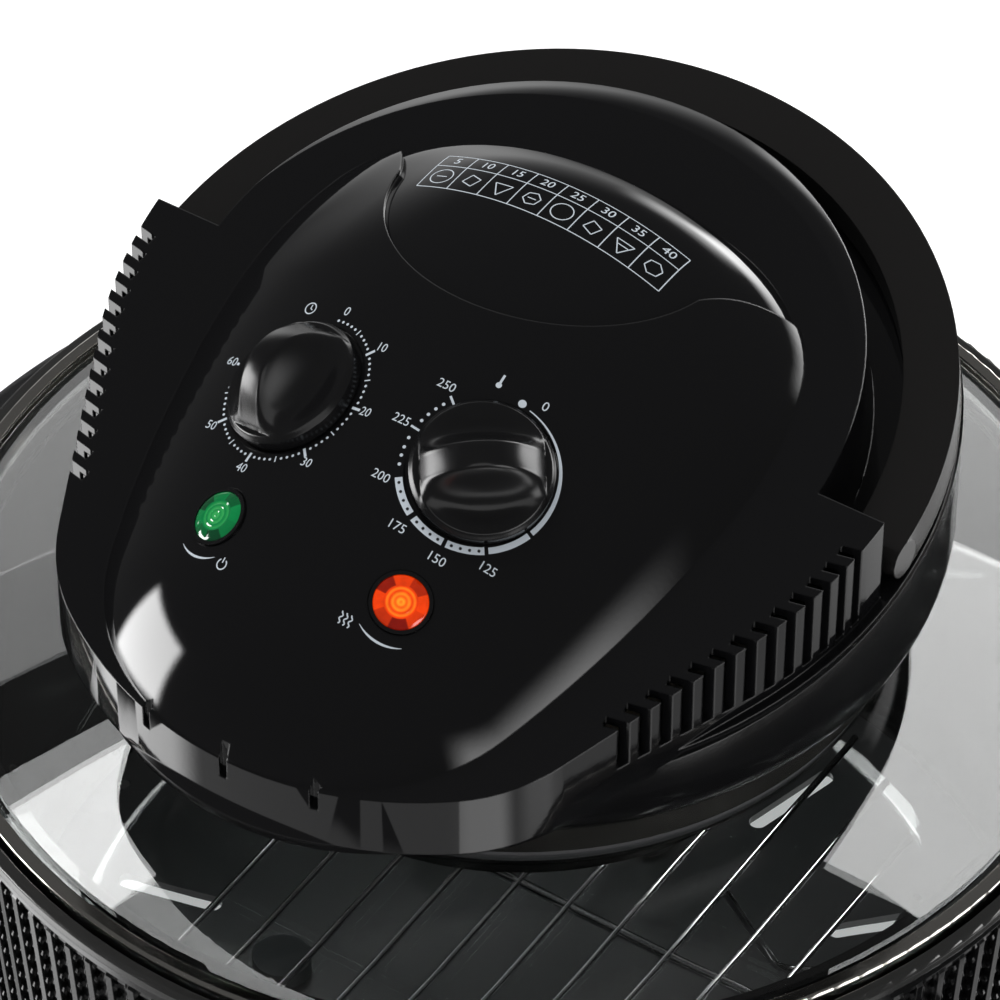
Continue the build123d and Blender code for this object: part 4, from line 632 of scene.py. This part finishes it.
class Print:  # flat marks laid on the bulge, in one mesh
    def __init__(self, seat, inset=0.0, lift=0.06, slant=None):
        self.seat, self.inset, self.lift, self.slant = seat, inset, lift, slant
        self.reaches = []
        self.points, self.faces = [], []

    def put(self, outline, holes=None):
        origin, right, up, out = self.seat
        first = len(self.points)
        for u, v in outline:
            spot = origin + right * u + up * v
            if self.slant is not None:
                hit = coverTree.ray_cast(Vector(world(spot + self.slant * 8)), -self.slant, 40 * mm)[0]
                if hit is not None:
                    spot = local(hit)
                    self.reaches.append((math.hypot((spot - origin).dot(right), (spot - origin).dot(up))
                                         - math.hypot(u, v), (spot - origin).dot(out)))
            found = onBulge(*spot, inset=self.inset)
            place = found[0] + found[1] * self.lift if found else spot
            self.points.append(world(place))
        if holes is None:
            self.faces.append(tuple(range(first, first + len(outline))))
        else:
            self.faces += [tuple(first + corner for corner in face) for face in holes]

    def dot(self, u, v, radius, sides=14):
        turns = [2 * math.pi * k / sides for k in range(sides)]
        self.put([(u + radius * math.cos(turn), v + radius * math.sin(turn)) for turn in turns])

    def band(self, line, width):  # strip of even width along a line of points
        for (u1, v1), (u2, v2) in zip(line, line[1:]):
            span = math.hypot(u2 - u1, v2 - v1) or 1e-9
            du, dv = (v2 - v1) / span * width / 2, (u1 - u2) / span * width / 2
            self.put([(u1 + du, v1 + dv), (u1 - du, v1 - dv), (u2 - du, v2 - dv), (u2 + du, v2 + dv)])

    def arc(self, radius, start, end, width, widthEnd=None, centre=(0.0, 0.0)):
        # curved strip, its angles clockwise from straight up the panel
        steps = max(int(abs(end - start) / 3), 2)
        rows = []
        for k in range(steps + 1):
            share = k / steps
            turn = math.radians(start + share * (end - start))
            half = (width + share * ((widthEnd if widthEnd is not None else width) - width)) / 2
            rows.append([(centre[0] + r * math.sin(turn), centre[1] + r * math.cos(turn))
                         for r in (radius - half, radius + half)])
        for one, two in zip(rows, rows[1:]):
            self.put([one[0], one[1], two[1], two[0]])

    def tick(self, radius, turn, length, width):
        angle = math.radians(turn)
        self.band([((radius - length / 2) * math.sin(angle), (radius - length / 2) * math.cos(angle)),
                   ((radius + length / 2) * math.sin(angle), (radius + length / 2) * math.cos(angle))], width)

    def number(self, text, u, v, height, turn=0.0):  # plain number, its middle at a place, turned clockwise
        curve = bpy.data.curves.new("number", "FONT")
        curve.body = text
        curve.size = height * 1.38
        curve.align_x = "CENTER"
        curve.align_y = "CENTER"
        curve.resolution_u = 3
        maker = bpy.data.objects.new("number", curve)
        bpy.context.scene.collection.objects.link(maker)
        shape = bpy.data.meshes.new_from_object(maker.evaluated_get(bpy.context.evaluated_depsgraph_get()))
        angle = math.radians(turn)
        outline = [(u + p.co.x * math.cos(angle) + p.co.y * math.sin(angle),
                    v - p.co.x * math.sin(angle) + p.co.y * math.cos(angle)) for p in shape.vertices]
        self.put(outline, holes=[tuple(face.vertices) for face in shape.polygons])
        bpy.data.objects.remove(maker)
        bpy.data.curves.remove(curve)
        bpy.data.meshes.remove(shape)

    def make(self, name, material):
        mesh = bpy.data.meshes.new(name)
        mesh.from_pydata(self.points, [], self.faces)
        piece = bpy.data.objects.new(name, mesh)
        bpy.context.scene.collection.objects.link(piece)
        mesh.materials.append(material)
        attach(piece, "lid")
        return piece


def polar(radius, turn):
    return radius * math.sin(math.radians(turn)), radius * math.cos(math.radians(turn))


timerDial = dict(first=-0.4, step=4.5833, radius=22.3, right=0.9, up=-0.3)  # degrees a minute, mm


def addTimerScale(ink):
    origin, right, up, out = seatAt(-dialX, dialY)
    turn, rise = math.radians(studio["azimuth"]), math.radians(studio["elevation"])
    sight = Vector((math.sin(turn) * math.cos(rise), -math.cos(turn) * math.cos(rise), math.sin(rise)))
    middle = origin + right * timerDial["right"] + up * timerDial["up"]
    marks = Print((middle, right, up, out), slant=sight)
    first, step, radius = timerDial["first"], timerDial["step"], timerDial["radius"]
    for minute in range(0, 61):
        turn = first + step * minute
        if minute % 10 == 0 and minute > 0:
            marks.tick(radius + 0.5, turn, 2.9, 0.8)
        elif minute % 5 == 0 and minute > 0:
            marks.tick(radius, turn, 1.8, 0.38)
        else:
            marks.dot(*polar(radius, turn), 0.42)
    for minute in range(10, 61, 10):
        marks.number(str(minute), *polar(radius + 4.0, first + step * minute), 2.7)
    marks.number("0", *polar(radius + 3.2, first + 2), 2.8)
    clock = polar(radius + 3.9, first - 26)
    marks.arc(1.7, 0, 360, 0.36, centre=clock)
    marks.band([(clock[0], clock[1] + 1.2), clock, (clock[0] + 0.8, clock[1] - 0.35)], 0.32)
    marks.make("timer_scale", ink)
    print("timer marks: furthest out and in of round, and depth under the seat plane, mm:",
          round(max(r[0] for r in marks.reaches), 2), round(min(r[0] for r in marks.reaches), 2),
          round(min(r[1] for r in marks.reaches), 2))


heatDial = dict(radius=21.6, right=-0.6, runs=((145.9, 173.4), (176.3, 203.3), (207.2, 236.4)),
                numbers={125: 144.5, 150: 175.0, 175: 205.2, 200: 238.5, 225: 275.8, 250: 309.3},
                dots=(246.4, 253.3, 259.8, 267.4, 283.0, 289.6, 296.2, 302.6))  # clockwise from the top


def addThermostatScale(ink, dark):
    origin, right, up, out = seatAt(dialX, dialY)
    seat = (origin + right * heatDial["right"], right, up, out)
    marks = Print(seat)
    radius = heatDial["radius"]
    marks.dot(*polar(radius + 0.5, 0.0), 1.15, sides=24)
    marks.arc(radius, 7, 109, 0.3, 1.5)
    marks.arc(radius, 111.7, 143, 1.75)
    for start, end in heatDial["runs"]:
        marks.arc(radius, start, end, 2.1)
    for value, turn in heatDial["numbers"].items():
        if value > 200:
            marks.tick(radius, turn, 2.9, 0.65)
        marks.number(str(value), *polar(radius + 4.9, turn), 2.7)
    for turn in heatDial["dots"]:
        marks.dot(*polar(radius, turn), 0.5)
    marks.number("0", *polar(radius + 3.6, 13), 2.8)
    stem = polar(radius + 4.6, -18)
    marks.dot(stem[0], stem[1] - 1.4, 0.85, sides=18)
    marks.band([(stem[0], stem[1] - 1.3), (stem[0], stem[1] + 1.9)], 0.66)
    marks.make("thermostat_scale", ink)
    holes = Print(seat, lift=0.1)
    for start, end in heatDial["runs"]:
        for place in (0.14, 0.38, 0.62, 0.86):
            holes.dot(*polar(radius, start + (end - start) * place), 0.42)
    holes.make("thermostat_scale_dots", dark)


def addLampMarks(ink):
    for name, x in (("power_mark", -lampX), ("heat_mark", lampX)):
        marks = Print(seatAt(x, lampY))
        steps = 14
        rows = []
        for k in range(steps + 1):
            turn = 150 + 64 * k / steps
            thick = 0.12 + 0.55 * math.sin(math.pi * k / steps)
            rows.append((polar(12.2 - thick / 2, turn), polar(12.2 + thick / 2, turn)))
        for one, two in zip(rows, rows[1:]):
            marks.put([one[0], one[1], two[1], two[0]])
        if x < 0:
            middle = (9.4, -11.6)
            marks.arc(1.5, 35, 325, 0.4, centre=middle)
            marks.band([(middle[0], middle[1] + 0.4), (middle[0], middle[1] + 2.0)], 0.4)
        else:
            for shift in (-1.4, 0.0, 1.4):
                line = [(-10.6 + shift + 0.35 * math.sin(k * 1.05), -12.6 + 0.32 * k) for k in range(12)]
                marks.band(line, 0.38)
        marks.make(name, ink)


def addChart(ink):
    # plain guide strip behind the crease: two rows of eight cells with numbers and simple shapes
    flat = Print((Vector((0, 0, 0)), Vector((1, 0, 0)), Vector((0, 1, 0)), Vector((0, 0, 1))), inset=1.6)

    def place(u, v):
        point, normal = dropOnBulge(u, v, inset=1.6)
        return world(point + normal * 0.02)

    def line(a, b, width):
        steps = max(int(math.dist(a, b) / 2.5), 1)
        span = math.dist(a, b)
        du, dv = (b[1] - a[1]) / span * width / 2, (a[0] - b[0]) / span * width / 2
        for k in range(steps):
            quad = []
            for share, way in ((k / steps, 1), (k / steps, -1), ((k + 1) / steps, -1), ((k + 1) / steps, 1)):
                u, v = a[0] + share * (b[0] - a[0]) + way * du, a[1] + share * (b[1] - a[1]) + way * dv
                quad.append(place(u, v))
            first = len(flat.points)
            flat.points.extend(quad)
            flat.faces.append((first, first + 1, first + 2, first + 3))

    def shape(points):
        for a, b in zip(points, points[1:] + points[:1]):
            line(a, b, 0.32)

    low, high, half, cells = 7.0, 23.0, 39.0, 8
    middle = 17.2
    for v in (low, middle, high):
        line((-half, v), (half, v), 0.3)
    for k in range(cells + 1):
        line((-half + 2 * half * k / cells, low), (-half + 2 * half * k / cells, high), 0.3)
    for k in range(cells):
        u = -half + 2 * half * (k + 0.5) / cells
        v = (low + middle) / 2
        sides = (24, 4, 3, 6)[k % 4]
        size = 2.6 if k % 2 else 3.2
        corners = [2 * math.pi * (j + 0.25) / sides for j in range(sides)]
        shape([(u + size * math.cos(corner), v + size * math.sin(corner)) for corner in corners])
        if k % 3 == 0:
            line((u - size * 0.5, v), (u + size * 0.5, v), 0.32)
        curve = bpy.data.curves.new("cell", "FONT")
        curve.body = str(5 * (k + 1))
        curve.size = 4.2
        curve.align_x = "CENTER"
        curve.align_y = "CENTER"
        curve.resolution_u = 3
        maker = bpy.data.objects.new("cell", curve)
        bpy.context.scene.collection.objects.link(maker)
        outline = bpy.data.meshes.new_from_object(maker.evaluated_get(bpy.context.evaluated_depsgraph_get()))
        first = len(flat.points)
        flat.points.extend(place(u + p.co.x, (middle + high) / 2 + p.co.y) for p in outline.vertices)
        flat.faces += [tuple(first + corner for corner in face.vertices) for face in outline.polygons]
        bpy.data.objects.remove(maker)
        bpy.data.curves.remove(curve)
        bpy.data.meshes.remove(outline)
    flat.make("guide_strip", ink)


def addLatticeBars():
    ribs, pitch, top = 138, 5.9, -6.5
    points, faces = [], []
    for gap in range(ribs):
        for row in range(27):
            high = top - row * pitch - (0.0 if gap % 2 else pitch / 2)
            if high < -160:
                continue
            share = (high + 168.0) / (168.0 - 4.6)
            wall = 160.0 + share * 11.4
            first = len(points)
            for z, out in ((high + 0.9, 0.2), (high + 0.7, 1.5), (high - 0.9, 1.9), (high - 1.1, 0.2)):
                for side in (0.2, 0.8):
                    turn = 2 * math.pi * (gap + side) / ribs
                    r = wall + out
                    points.append(tuple(at(r * math.sin(turn), -r * math.cos(turn), z)))
            faces += [(first, first + 1, first + 3, first + 2), (first + 2, first + 3, first + 5, first + 4),
                      (first + 4, first + 5, first + 7, first + 6), (first, first + 2, first + 4, first + 6),
                      (first + 1, first + 7, first + 5, first + 3), (first, first + 6, first + 7, first + 1)]
    addMesh("lattice_bars", points, faces, tubGloss, "base", smooth=20)


coverTree = addCover()
print("cover made")
addKnob("timer_knob_form", "time_knob", -dialX, 4.0, "timer_dial")
addKnob("thermostat_knob_form", "temperature_knob", dialX, 237.0, "thermostat_dial")
# lamp lens colours: the glow from the middle, and the painted glints and shade on the rings and facets
greenLens = jewel("greenLens", (0.04, 0.42, 0.1), (0.0, 0.045, 0.014), (0.0, 0.2, 0.05), 0.22)
amberLens = jewel("amberLens", (0.85, 0.24, 0.012), (0.13, 0.002, 0.0), (0.62, 0.035, 0.0), 0.8)
addLens("power_lens_form", "power_lens", -lampX, greenLens)
addLens("heat_lens_form", "heat_lens", lampX, amberLens)
whiteInk = finish("whiteInk", (0.6, 0.66, 0.72), 0.4, peel=0.05)
darkInk = finish("darkInk", (0.01, 0.01, 0.012), 0.3, peel=0.02)
addTimerScale(whiteInk)
addThermostatScale(whiteInk, darkInk)
addLampMarks(whiteInk)
addChart(whiteInk)
addLatticeBars()
print("fine pieces made")
setLamps()
